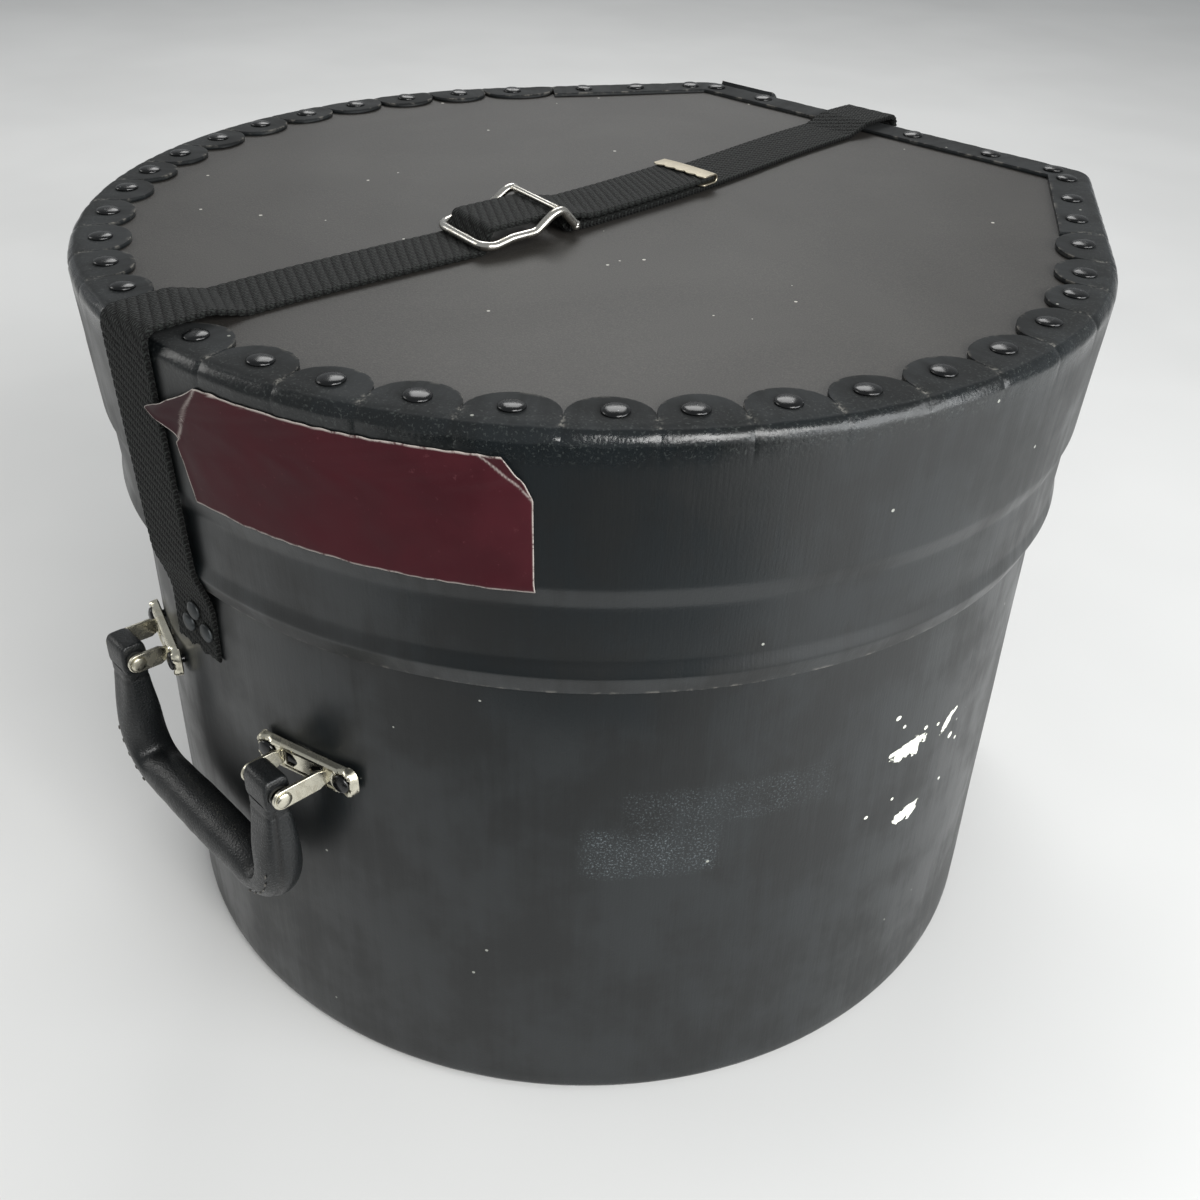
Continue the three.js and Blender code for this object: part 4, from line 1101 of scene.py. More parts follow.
    def cloth(self, name: str, finish: Finish) -> bpy.types.Material:
        """Woven webbing, with painted shade in the gaps between its ribs and a painted highlight on its
        strands' tops.

        Args:
            name: Name of the material.
            finish: Its colours and shine.

        Returns:
            The material.
        """
        g = Skin(name)
        weave = g.call(self.weave, {"Vector": g.uv})
        fibres = g.noise(g.spot, 2600, 3, 0.7)
        # painted highlight: the strands' tops are lighter than the webbing around them
        tone = g.times(weave.outputs["Strand"], g.plus(0.5, fibres))
        color = g.mix(tone, paint(finish.base), paint(finish.second))
        # painted shade: the gaps go near black
        color = g.mix(weave.outputs["GapShade"], color, paint(WEAVE_GAP_SHADE))
        fuzz = g.span(g.noise(g.spot, 1300, 4, 0.75), 0.62, 0.76)
        color = g.mix(g.times(fuzz, 0.25), color, paint(WEBBING_FUZZ))
        g.feed(g.shader, {"Sheen Weight": 0.03, "Specular IOR Level": 0.15})
        height = g.plus(weave.outputs["Strand"], g.times(fibres, 0.3))
        return g.done(color, finish.rough, height, finish.bump, finish.relief)

    def hide(self, name: str, finish: Finish) -> bpy.types.Material:
        """Pebbled leather: rounded cells with dark creases, rubbed on its high spots, with painted shade
        along its seam and its deep crease.

        Its masks are seam and crease (the seam's dark line with painted shade in its groove and in the
        crease), none, and thread.

        Args:
            name: Name of the material.
            finish: Its colours and shine.

        Returns:
            The material.
        """
        g = Skin(name)
        cells = g.cells(g.spot, 1450, "SMOOTH_F1")
        folds = g.noise(g.spot, 240, 5, 0.65, 0.5)
        height = g.minus(g.times(folds, 0.5), cells)
        rub = g.span(height, -0.25, 0.25)
        color = g.mix(rub, paint(finish.base), paint(finish.second))
        # the seam's dark line, and painted shade in its groove and in the crease
        color = g.mix(g.masks[0], color, paint(LEATHER_SEAM_CREASE_SHADE))
        color = g.mix(g.times(g.masks[2], 0.8), color, paint(THREAD))
        rough = g.span(rub, 0, 1, finish.rough + 0.12, finish.rough - 0.08)
        return g.done(color, rough, height, finish.bump, finish.relief)

    def paper(self, name: str, finish: Finish) -> bpy.types.Material:
        """A coated paper label with a pale torn edge. Its masks are paper edge and bare back.

        Args:
            name: Name of the material.
            finish: Its colours and shine.

        Returns:
            The material.
        """
        g = Skin(name)
        worn = g.span(g.noise(g.spot, 34, 4, 0.6), 0.3, 0.7)
        color = g.mix(worn, paint(finish.base), paint(finish.second))
        scuff = g.span(g.noise(g.spot, 520, 5, 0.7), 0.62, 0.74)
        color = g.mix(g.times(scuff, 0.2), color, paint(LABEL_SCUFF))
        color = g.mix(g.times(g.masks[1], 0.8), color, paint(LABEL_BACK))
        torn = g.times(g.masks[0], g.span(g.noise(g.spot, 420, 4, 0.7), 0.3, 0.5))
        color = g.mix(g.times(torn, 0.75), color, paint(TORN_PAPER))
        g.shader.inputs["Specular IOR Level"].default_value = 0.22
        rough = g.span(worn, 0, 1, finish.rough, finish.rough + 0.1)
        return g.done(color, rough, g.noise(g.spot, 300, 4, 0.6), finish.bump, finish.relief)


@dataclass(frozen=True)
class WallMark:
    """A mark on the case wall, by its arc length from the right-hand side and its height."""

    arc: float
    z: float
    length: float
    width: float
    slant: float = 0.0


WALL_CHIPS = (
    WallMark(-17.5, 133.2, 17, 6, 8),
    WallMark(-14.8, 131.6, 8, 4.2, -50),
    WallMark(-24, 134.3, 7, 2, 5),
    WallMark(5.2, 132.6, 9, 3.6, 50),
    WallMark(8.8, 134.8, 6, 1.8, 25),
    WallMark(-11.5, 100.6, 13, 5.2, 12),
    WallMark(-8, 98.9, 6, 3, 40),
    WallMark(-15.5, 100.3, 5, 4, -60),
    WallMark(-1.5, 135.2, 1.8, 1.3),
    WallMark(10, 123.8, 2.6, 2.2),
    WallMark(15.3, 119.4, 1.6, 1.3),
    WallMark(-9.3, 137.7, 2, 1.6),
    WallMark(-22, 144.6, 1.6, 1.3),
    WallMark(-26.1, 149.9, 2.2, 1.8),
    WallMark(8.7, 104.3, 1.5, 1.2),
    WallMark(-21.4, 112.4, 1.5, 1.2),
    WallMark(-33.6, 110, 1.8, 1.4),
)
# Each tape's trace with its strength
TAPE_TRACES = ((WallMark(-114, 119, 44, 20), 1.0), (WallMark(-88, 137, 70, 16), 0.45))

# The label's outline: heights above the lid's edge, and at each height its left edge, its
# right edge and the crease of its peeled corner, in degrees about the case
LABEL_HEIGHTS = (39.2, 42.2, 58.2, 59.6, 64.6, 67.6, 71.7, 76.1, 79.6)
LABEL_EDGES = (
    (-85.8, -86.0, -87.1, -86.6, -87.9, -89.7, -86.9, -84.3, -82.6),
    (-50.1, -50.2, -50.2, -50.2, -50.2, -50.2, -50.8, -51.8, -52.7),
    (-90.0, -90.0, -87.6, -86.6, -85.8, -85.3, -84.5, -83.3, -82.4),
)


SHELL = shell_sizes()


# Sub-assemblies


@dataclass(frozen=True)
class LabelSizes:
    """How the paper label lies on the wall. Its outline is in the tables above."""

    thickness: float = 0.22
    clear: float = 0.35
    droop: float = 1.9
    peel: float = 3.3
    peel_reach: float = 9
    fold: float = 1.1
    fold_reach: float = 7


class TabbedWall:
    """Shared geometry of a wall sheet whose edge is cut in tabs and folded onto a panel."""

    STEPS = 16

    def __init__(self, sizes: ShellSizes, plan: Plan, radius: float, seed: int) -> None:
        """Works out the columns round the wall.

        Args:
            sizes: Sizes of the case.
            plan: Outline of the case.
            radius: Outside radius of the wall at its tabs.
            seed: Seed of the small differences between tabs.
        """
        self.sizes = sizes
        self.plan = plan
        self.radius = radius
        rng = np.random.default_rng(seed)
        angles, insets, lifts, tips = [], [], [], []
        bounds = [-180 - sizes.tab_end]
        bounds += [(a + b) / 2 for a, b in zip(TAB_ANGLES[:-1], TAB_ANGLES[1:])]
        bounds.append(sizes.tab_end)
        phase = np.linspace(0, math.pi, self.STEPS + 1)
        for low, high in zip(bounds[:-1], bounds[1:]):
            angles.append((low + high) / 2 - (high - low) / 2 * np.cos(phase))
            reach = np.sin(phase) ** 0.86
            depth = sizes.tab_depth + rng.uniform(-0.9, 0.5)
            insets.append(sizes.tab_root + depth * reach)
            lifts.append(rng.uniform(0.02, 0.4) * reach**2)
            tips.append(rng.uniform(-0.5, 0.5) * np.cos(phase) * reach)
        straight = np.concatenate([
            np.linspace(sizes.tab_end + 0.02, 57, 26)[:-1],
            np.linspace(57, 65, 30)[:-1],
            np.linspace(65, 90, 34),
        ])
        sides = (straight, (180 - straight)[::-1][1:])
        angles += sides
        for part in sides:
            insets.append(np.full(len(part), sizes.straight_tab))
            lifts.append(np.zeros(len(part)))
            tips.append(np.zeros(len(part)))
        self.degrees = np.concatenate(angles)
        keep = np.concatenate([[True], np.diff(self.degrees) > 1e-6])
        self.degrees = self.degrees[keep]
        self.angles = np.radians(self.degrees)
        self.insets = np.concatenate(insets)[keep]
        self.lifts = np.concatenate(lifts)[keep] + np.concatenate(tips)[keep] * 0.4
        self.notches = np.array(bounds)
        self.rays = direction(self.angles)
        self.round = plan.share(self.angles)
        self.square = plan.sharp(self.angles)

    def notch_distance(self) -> Array:
        """Distance in millimetres from each column to the nearest notch between two tabs."""
        wrapped = (self.degrees[:, None] - self.notches[None, :] + 180) % 360 - 180
        return np.radians(np.abs(wrapped).min(axis=1)) * self.radius

    def rings(self, profile: Array) -> Array:
        """Rings of the plan, one for each point of a profile.

        Args:
            profile: The points of radius and height.

        Returns:
            Rows by columns by three coordinates.
        """
        grid = np.empty((len(profile), len(self.angles), 3))
        grid[..., :2] = profile[:, 0][:, None, None] * (self.rays * self.round[:, None])[None]
        grid[..., 2] = profile[:, 1][:, None]
        return grid

    def tab_rings(self, start: float, shares: Sequence, heights: Array | float, inset: float = 0.0) -> Array:
        """Rings that run in from a radius towards the edge of the tabs.

        Args:
            start: The radius that they start from.
            shares: Share of that way for each ring.
            heights: Height of each ring, or one for all.
            inset: How far short of the tabs' edge the way ends.

        Returns:
            Rows by columns by three coordinates.
        """
        inner = (self.radius - self.insets + inset) * self.square
        outer = start * self.round
        reach = outer[None] + (inner - outer)[None] * np.array(shares)[:, None]
        grid = np.empty((len(shares), len(self.angles), 3))
        grid[..., :2] = reach[..., None] * self.rays[None]
        grid[..., 2] = np.broadcast_to(heights, len(shares))[:, None]
        return grid

    def rivet_places(self) -> Array:
        """Places in the plan of every rivet in the tabs."""
        inner = self.radius - self.sizes.rivet_inset
        turn = np.radians(np.array(TAB_ANGLES))
        scallops = direction(turn) * (inner * self.plan.sharp(turn))[:, None]
        flat = np.array([[s * self.plan.half * self.radius, inner] for s in FLAT_SHARES])
        run = direction(np.array(self.plan.run_angle))
        along = direction(np.array(self.plan.run_angle + math.pi / 2))
        right = np.array([run * inner + along * s * self.plan.half * self.radius for s in CORNER_SHARES])
        return np.concatenate([scallops, flat, right, right * np.array([-1, 1])])

    def wall_uv(self, grid: Array) -> Array:
        """Texture coordinates of a closed grid: arc length along the wall and across its section.

        Args:
            grid: Points of the wall.

        Returns:
            The coordinates, with one more row and column.
        """
        arcs = np.concatenate([self.angles, [self.angles[0] + TURN]]) * self.radius
        closed = np.concatenate([grid, grid[:1]])
        steps = np.linalg.norm(np.diff(closed[:, 0], axis=0), axis=1)
        across = np.concatenate([[0], np.cumsum(steps)]) + grid[0, 0, 2]
        u, v = np.meshgrid(arcs, across)
        return np.stack([u, v], axis=-1)


class Lid:
    """The lid: its pressed wall with folded tabs, board, rivets, lap and label."""

    def __init__(self, sizes: ShellSizes, plan: Plan, finishes: Finishes) -> None:
        """Keeps what the lid is made from.

        Args:
            sizes: Sizes of the shell.
            plan: Outline of the case.
            finishes: The materials.
        """
        self.sizes = sizes
        self.plan = plan
        self.finishes = finishes
        self.wall = TabbedWall(sizes, plan, sizes.lid_radius, seed=3)

    def bands(self, offset: float = 0.0) -> Array:
        """Outside of the lid's wall from its edge to the eave, as points of radius and height.

        Args:
            offset: How far outside the bands it lies.

        Returns:
            Points of radius and height.
        """
        s = self.sizes
        rows = [[s.lid_radius - inward, s.lid_edge + up] for inward, up in s.bands]
        line = np.array([*rows, [s.lid_radius, s.eave]])
        line[:, 0] += offset
        return resample(line, 0.5, 0.55)

    def radius_at(self, z: Array) -> Array:
        """Outside radius of the lid at heights."""
        line = self.bands()
        return np.interp(z, line[:, 1], line[:, 0])

    def build(self) -> None:
        """Makes every piece of the lid."""
        self.build_wall()
        self.build_board()
        self.build_lap()
        self.build_seam_rivets()
        self.build_label()

    def build_wall(self) -> None:
        """The wall sheet as one closed section that is swept round the plan.

        The section runs up the pressed bands, over the rolled rim, in to the tabs' edge,
        back under them and down the inside.
        """
        s, wall = self.sizes, self.wall
        centre = s.lid_radius - s.rim_round
        outer = thin_out(self.bands(), 66, 6.0)
        rim = arc((centre, s.eave), s.rim_round, 0, math.pi / 2, 15)[1:]
        inner_rim = arc((centre, s.eave), s.rim_round - s.sheet, math.pi / 2, 0, 6)
        inner = thin_out(self.bands(-s.sheet)[::-1], 22, 3.0)[1:]
        edge_round = np.array([[s.lid_radius - 7.9, s.lid_edge - 0.12]])
        top = wall.tab_rings(centre, (0.12, 0.28, 0.46, 0.64, 0.8, 0.92, 1.0), s.top, 0.35)
        brink = wall.tab_rings(centre, (1, 1, 1), s.top - np.array([0.12, 0.45, s.sheet - 0.2]))
        under = wall.tab_rings(centre, (1.0, 0.6, 0.2), s.top - s.sheet, 0.2)
        grid = np.concatenate([
            wall.rings(outer), wall.rings(rim), top, brink, under,
            wall.rings(inner_rim), wall.rings(inner), wall.rings(edge_round),
        ])
        first_rim, first_top = len(outer), len(outer) + len(rim)
        self.lift_tabs(grid, first_top, len(top))
        in_rim = self.sink_rim(grid, first_rim, first_top)
        self.bow_bands(grid, first_rim)
        masks = blank_masks(grid)
        first_brink = first_top + len(top)
        masks[first_brink - 1:first_brink + 2, :, 0] = np.array([0.35, 0.9, 0.3])[:, None]
        masks[0, :, 0] = 0.6
        masks[-1, :, 0] = 1
        masks[..., 1] = in_rim[:, None]
        masks[first_rim + 9:first_top + 3, :, 2] = 0.8 * bell(wall.notch_distance(), 0.7)[None]
        surface = Surface()
        surface.grid(grid, wall.wall_uv(grid), RING, masks)
        dress(surface.build("lid_shell", self.finishes.fibre), Body.LID, Slot.FIBRE, "lid_wall")

    def lift_tabs(self, grid: Array, first_top: int, top_rows: int) -> None:
        """Lifts every tab's tip by its own amount, but none under the strap.

        Args:
            grid: The wall's points, which it moves.
            first_top: First row on top of the tabs.
            top_rows: Number of rows there.
        """
        brink_and_under = (1, 1, 1, 1, 0.5, 0)
        first_brink = first_top + top_rows
        share = np.zeros(len(grid))
        share[first_top:first_brink] = smooth(np.linspace(-0.1, 1, top_rows))
        share[first_brink:first_brink + len(brink_and_under)] = brink_and_under
        clear = 1 - bell(grid[..., 0] - StrapSizes.middle_x, 17) * (grid[..., 1] < 0)
        grid[..., 2] += share[:, None] * self.wall.lifts[None] * clear

    def sink_rim(self, grid: Array, first_rim: int, first_top: int) -> Array:
        """Sinks the rim a little at each notch, and leaves it proud between notches.

        It sinks by a narrow bell curve about a notch less a wide one beside it, plus
        random waves, and never rises.

        Args:
            grid: The wall's points, which it moves.
            first_rim: First row of the rolled rim.
            first_top: First row on top of the tabs.

        Returns:
            How much each row belongs to the rim.
        """
        wall = self.wall
        in_rim = np.zeros(len(grid))
        in_rim[first_rim - 6:first_rim] = np.linspace(0, 1, 6)
        in_rim[first_rim:first_top + 2] = 1
        in_rim[first_top + 2:first_top + 5] = (0.7, 0.4, 0.2)
        notch = wall.notch_distance()
        crease = 0.3 * bell(notch, 0.9) - 0.08 * bell(notch - 5, 4)
        rows = np.arange(len(grid))[:, None] * 1.0
        uneven = 0.12 * waves(wall.angles[None] * self.sizes.lid_radius, rows, 5, (4, 11), 20)
        sink = in_rim[:, None] * np.maximum(crease[None] - uneven + 0.1, 0)
        radial = np.concatenate([wall.rays, np.zeros((len(wall.rays), 1))], axis=1)[None]
        grid -= sink[..., None] * (0.6 * radial + np.array([0, 0, 0.6]))
        return in_rim

    def bow_bands(self, grid: Array, first_rim: int) -> None:
        """Makes the wall below the rim slightly uneven, and never proud near the rim.

        Args:
            grid: The wall's points, which it moves.
            first_rim: First row of the rolled rim.
        """
        s, wall = self.sizes, self.wall
        level = grid[..., 2].clip(s.lid_edge, s.top)
        outside = np.arange(len(grid))[:, None] < first_rim
        soft = 0.12 * waves(wall.angles[None] * s.lid_radius, level * 0.6, 8, (30, 90), 10) * outside
        soft = np.where(level > s.eave - 20, np.minimum(soft, 0), soft)
        grid[..., :2] += soft[..., None] * wall.rays[None]

    def build_board(self) -> None:
        """The board under the tabs, and the rivets that hold it."""
        s = self.sizes
        top = s.top - s.sheet - 0.05
        board = panel_disc(self.plan, s.lid_radius - s.rim_round - s.gap, top, s.panel, 0.14, seed=11)
        dress(board.build("lid_board", self.finishes.board), Body.LID, Slot.PANEL, "lid_panel")
        heads = Surface()
        rng = np.random.default_rng(21)
        for place in self.wall.rivet_places():
            self.add_rivet(heads, place, rng)
        rivets = heads.build("lid_tab_rivets", self.finishes.enamel, sharp=50)
        dress(rivets, Body.LID, Slot.BLACK_RIVET, "lid_panel")

    def add_rivet(self, heads: Surface, place: Array, rng: np.random.Generator) -> None:
        """One tab rivet, set a little off square, with its clinched end under the board.

        Args:
            heads: The surface that it is added to.
            place: Its place in the plan.
            rng: Random numbers for its size and tilt.
        """
        s = self.sizes
        radius = s.rivet_radius * rng.uniform(0.8, 0.85)
        tilt_x, tilt_y = rng.uniform(-0.05, 0.05), rng.uniform(-0.05, 0.05)
        tilt = Matrix.Rotation(tilt_x, 4, "X") @ Matrix.Rotation(tilt_y, 4, "Y")
        spot = Matrix.Translation((place[0], place[1], s.top))
        heads.turned(dome(radius, s.rivet_height * 0.85), 28, spot @ tilt)
        low, wide = -s.sheet - s.panel, s.clinch_radius
        clinch = np.array([[0.2, low - 0.9], [1.9, low - 0.8], [wide, low - 0.3], [wide, low]])
        heads.turned(clinch, 18, spot)

    def build_lap(self) -> None:
        """The sheet's end where it laps over the flat side, with its edges a little proud."""
        s = self.sizes
        across = np.linspace(-1, 1, 26)
        line = thin_out(self.bands(), 44, 5.0)
        centre = (s.lid_radius - s.rim_round, s.eave)
        over = arc(centre, s.rim_round + s.sheet, 0, 1.25, 8)[1:]
        outer = np.concatenate([line + np.array([s.sheet, 0]), over])
        inner = np.concatenate([line, arc(centre, s.rim_round, 0, 1.25, 8)[1:]])[::-1]
        section = np.concatenate([outer, inner])
        proud = 0.5 * smooth((np.abs(across) - 0.7) / 0.3) * (across > 0)
        grid = np.empty((len(across), len(section), 3))
        grid[..., 0] = (s.lap_middle + across * s.lap_width / 2)[:, None]
        grid[..., 1] = section[:, 0] + proud[:, None]
        grid[..., 2] = section[:, 1]
        masks = blank_masks(grid)
        masks[[0, -1], :, 0] = 0.8
        surface = Surface()
        surface.grid(grid, closed=ROUND, masks=masks, caps=True)
        dress(surface.build("lid_lap", self.finishes.fibre), Body.LID, Slot.FIBRE, "lid_wall")

    def build_seam_rivets(self) -> None:
        """The three rivets of the lid's lapped seam."""
        s = self.sizes
        for i, share in enumerate((0.2, 0.55, 0.85)):
            z = s.lid_edge + share * (s.eave - s.lid_edge)
            out = float(self.radius_at(np.array([z]))[0]) + s.sheet + s.gap
            node = f"lid_seam_rivet_{i + 1}"
            seam_rivet(s, node, out, z, Body.LID, self.finishes)

    def build_label(self) -> None:
        """The paper label, with one corner peeled over the strap and one bent up.

        Left of the crease the paper lifts by the smooth share of the way past it. The upper
        right corner lifts by the smooth share of the way past a slanted line.
        """
        s, b = self.sizes, LabelSizes()
        height = s.lid_edge + np.array(LABEL_HEIGHTS)
        low, high = height[0], height[-1]
        z = np.linspace(low, high, 64)
        left, right, crease = (np.radians(np.interp(z, height, row))[:, None] for row in LABEL_EDGES)
        share = 0.5 - 0.5 * np.cos(np.linspace(0, math.pi, 130))
        ang = left + (right - left) * share[None]
        along = (ang - left) * s.lid_radius
        past = (crease - ang) * s.lid_radius
        level = np.repeat(z[:, None], len(share), axis=1)
        level = level - b.droop * share[None] * ((high - z) / (high - low))[:, None]
        level += 0.2 * waves(ang * s.lid_radius, level, 17, (4, 30), 10)
        lift = b.peel * smooth(past / b.peel_reach) ** 1.1
        cut = (right - ang) * s.lid_radius + (high - level) * 0.5
        lift += b.fold * smooth(1 - cut / b.fold_reach)
        out = b.clear + lift + 0.25 * bell(along, 2) + 0.1 * waves(along, level, 9, (7, 22), 12)
        reach = self.radius_at(level) + out
        grid = np.stack([np.cos(ang) * reach, np.sin(ang) * reach, level], axis=-1)
        to_right = (right - ang) * s.lid_radius
        border = np.minimum.reduce([along, to_right, level - level[:1], high - level])
        masks = blank_masks(grid)
        peeled = 0.7 * bell(past, 0.45) * (level > height[3])
        masks[..., 0] = np.maximum(smooth(1 - border / 0.5), peeled)
        masks[..., 0] = np.maximum(masks[..., 0], 0.7 * bell(cut - 6.5, 0.4))
        masks[..., 1] = smooth(past / 1.5)
        surface = Surface()
        surface.grid(grid, masks=masks)
        obj = surface.build("lid_paper_label", self.finishes.label)
        thicken(obj, b.thickness)
        dress(obj, Body.LID, Slot.LABEL, "lid_label")


def thicken(obj: bpy.types.Object, thickness: float, offset: float = 0.0) -> None:
    """Gives a sheet its thickness in millimetres.

    Args:
        obj: The object.
        thickness: How thick it gets, in millimetres.
        offset: Side that it grows to, from -1 to 1.
    """
    solid = obj.modifiers.new("thickness", "SOLIDIFY")
    solid.thickness = thickness * MM
    solid.offset = offset


def panel_disc(plan: Plan, radius: float, top: float, thickness: float, relief: float, seed: int) -> Surface:
    """A board in the shape of the plan, slightly uneven.

    Its height is the top plus the relief times a smooth random wave, which fades to
    nothing at the edge.

    Args:
        plan: Outline of the case.
        radius: Radius of the board's round side.
        top: Height of its upper face.
        thickness: Its thickness.
        relief: How uneven it is.
        seed: Seed of the random wave.

    Returns:
        The board's surface.
    """
    turn = np.linspace(0, TURN, 288, endpoint=False)
    shares = np.linspace(0.004, 1, 60)
    rays = direction(turn) * plan.share(turn)[:, None]
    upper = shares[:, None, None] * radius * rays[None]
    wave = waves(upper[..., 0], upper[..., 1], seed, (35, 120), 12)
    height = top + relief * wave * smooth((1 - shares) * 8)[:, None]
    lower = np.array([1.0, 0.5, 0.004])[:, None, None] * radius * rays[None]
    plane = np.concatenate([upper, lower])
    level = np.concatenate([height, np.full(lower.shape[:2], top - thickness)])
    grid = np.concatenate([plane, level[..., None]], axis=-1)
    surface = Surface()
    surface.grid(grid[::-1], closed=ROUND, caps=True)
    return surface


def seam_rivet(s: ShellSizes, node: str, out: float, z: float, body: Body, finishes: Finishes) -> None:
    """A rivet of a lapped seam on the flat side.

    Args:
        s: Sizes of the shell.
        node: Name of the node that it replaces.
        out: How far out it stands.
        z: Its height.
        body: The body that it rides.
        finishes: The materials.
    """
    surface = Surface()
    place = place_on_wall(math.pi / 2, out, z, -s.lap_middle)
    surface.turned(dome(s.rivet_radius, s.rivet_height), 28, place)
    back = np.array([[0.2, -3.3], [2.2, -3.2], [2.4, -3.0], [2.4, 0]])
    surface.turned(back, 18, place)
    dress(surface.build(f"{node}_head", finishes.enamel, sharp=50), body, Slot.BLACK_RIVET, node)


class Case:
    """The case below the lid: its wall, lap, bottom board and rivets."""

    def __init__(self, sizes: ShellSizes, plan: Plan, finishes: Finishes) -> None:
        """Keeps what the case is made from.

        Args:
            sizes: Sizes of the shell.
            plan: Outline of the case.
            finishes: The materials.
        """
        self.sizes = sizes
        self.plan = plan
        self.finishes = finishes
        self.wall = TabbedWall(sizes, plan, sizes.case_radius, seed=8)

    def build(self) -> None:
        """Makes every piece of the case."""
        self.build_wall()
        self.build_bottom()
        self.build_lap()
        for i, share in enumerate((0.12, 0.37, 0.62, 0.87)):
            z = share * self.sizes.lid_edge
            out = self.sizes.case_radius + self.sizes.gap
            seam_rivet(self.sizes, f"case_seam_rivet_{i + 1}", out, z, Body.CASE, self.finishes)

    def build_wall(self) -> None:
        """The wall sheet as one closed section.

        It runs out from the foot's tabs, up the outside, down the inside and back in.
        """
        s, wall = self.sizes, self.wall
        foot = s.case_radius - s.foot_round
        heights = np.linspace(s.foot_round, s.lid_edge + 4, 58)[1:]
        heights = np.concatenate([heights, [s.case_top - 1.2, s.case_top - 0.3]])
        outer = np.stack([np.full(len(heights), s.case_radius), heights], axis=1)
        brink = np.array([[s.case_radius - 0.4, s.case_top], [s.case_radius - 1.2, s.case_top]])
        inside = s.case_radius - s.sheet
        inner = np.linspace((inside, s.case_top - 0.3), (inside, s.foot_round), 16)
        foot_out = arc((foot, s.foot_round), s.foot_round, -math.pi / 2, 0, 10)
        foot_in = arc((foot, s.foot_round), s.foot_round - s.sheet, 0, -math.pi / 2, 6)[1:]
        lower = wall.tab_rings(foot, (1.0, 0.6, 0.25), 0.0, 0.2)
        edge = wall.tab_rings(foot, (1, 1), np.array([s.sheet - 0.3, 0.35]))
        upper = wall.tab_rings(foot, (0.25, 0.6, 1.0), s.sheet, 0.2)
        grid = np.concatenate([
            wall.rings(foot_out), wall.rings(outer), wall.rings(brink), wall.rings(inner),
            wall.rings(foot_in), upper, edge, lower,
        ])
        n_foot, n_outer = len(foot_out), len(outer)
        share = np.zeros(len(grid))
        share[n_foot:n_foot + n_outer] = smooth((s.lid_edge - heights) / 20) * smooth(heights / 30)
        arcs = wall.angles[None] * s.case_radius
        dent = 0.16 * waves(arcs, grid[..., 2] * 0.8, 31, (50, 150), 12) * share[:, None]
        grid[..., :2] += dent[..., None] * wall.rays[None]
        masks = blank_masks(grid)
        masks[n_foot + n_outer - 1:n_foot + n_outer + 2, :, 0] = 1
        masks[:n_foot, :, 1] = 0.5
        surface = Surface()
        surface.grid(grid, self.case_uv(grid, n_foot), RING, masks)
        dress(surface.build("case_shell", self.finishes.wall), Body.CASE, Slot.FIBRE, "case_wall")

    def case_uv(self, grid: Array, n_foot: int) -> Array:
        """Texture coordinates whose second part is the height on the outside of the wall.

        Args:
            grid: Points of the wall.
            n_foot: Number of rows in the outer foot.

        Returns:
            The coordinates.
        """
        uv = self.wall.wall_uv(grid)
        uv[..., 1] += self.sizes.foot_round - uv[n_foot - 1, 0, 1]
        uv[..., 0] = (uv[..., 0] + math.pi * self.sizes.case_radius) % (TURN * self.sizes.case_radius)
        uv[..., 0] -= math.pi * self.sizes.case_radius
        return uv

    def build_bottom(self) -> None:
        """The bottom board, and its rivets in the foot's tabs."""
        s = self.sizes
        top = s.sheet + s.panel
        board = panel_disc(self.plan, s.case_radius - s.foot_round - s.gap, top, s.panel - 0.05, 0.1, seed=14)
        dress(board.build("bottom_board", self.finishes.board), Body.CASE, Slot.PANEL, "bottom_panel")
        heads = Surface()
        ends = np.array([[0.2, -top + 0.05], [2.6, -top + 0.1], [2.8, -top + 0.35], [2.8, -0.1]])
        for place in self.wall.rivet_places():
            spot = Matrix.Translation((place[0], place[1], top))
            heads.turned(dome(s.rivet_radius, s.rivet_height), 22, spot)
            heads.turned(ends, 16, spot)
        rivets = heads.build("bottom_tab_rivets", self.finishes.enamel, sharp=50)
        dress(rivets, Body.CASE, Slot.BLACK_RIVET, "bottom_panel")

    def build_lap(self) -> None:
        """The inner end of the wall sheet where it laps behind the flat side."""
        s = self.sizes
        x = np.linspace(s.lap_middle - s.lap_width / 2, s.lap_middle + s.lap_width / 2, 16)
        y = s.case_radius - s.sheet - np.array([0.02, s.sheet])
        z = np.linspace(s.sheet + s.panel + s.foot_round, s.case_top - 0.2, 24)
        section = np.array([[y[0], z[0]], *[[y[1], h] for h in z], [y[0], z[-1]]])
        grid = np.empty((len(x), len(section), 3))
        grid[..., 0] = x[:, None]
        grid[..., 1:] = section[None]
        surface = Surface()
        surface.grid(grid, closed=ROUND, caps=True)
        dress(surface.build("case_lap", self.finishes.fibre), Body.CASE, Slot.FIBRE, "case_wall")


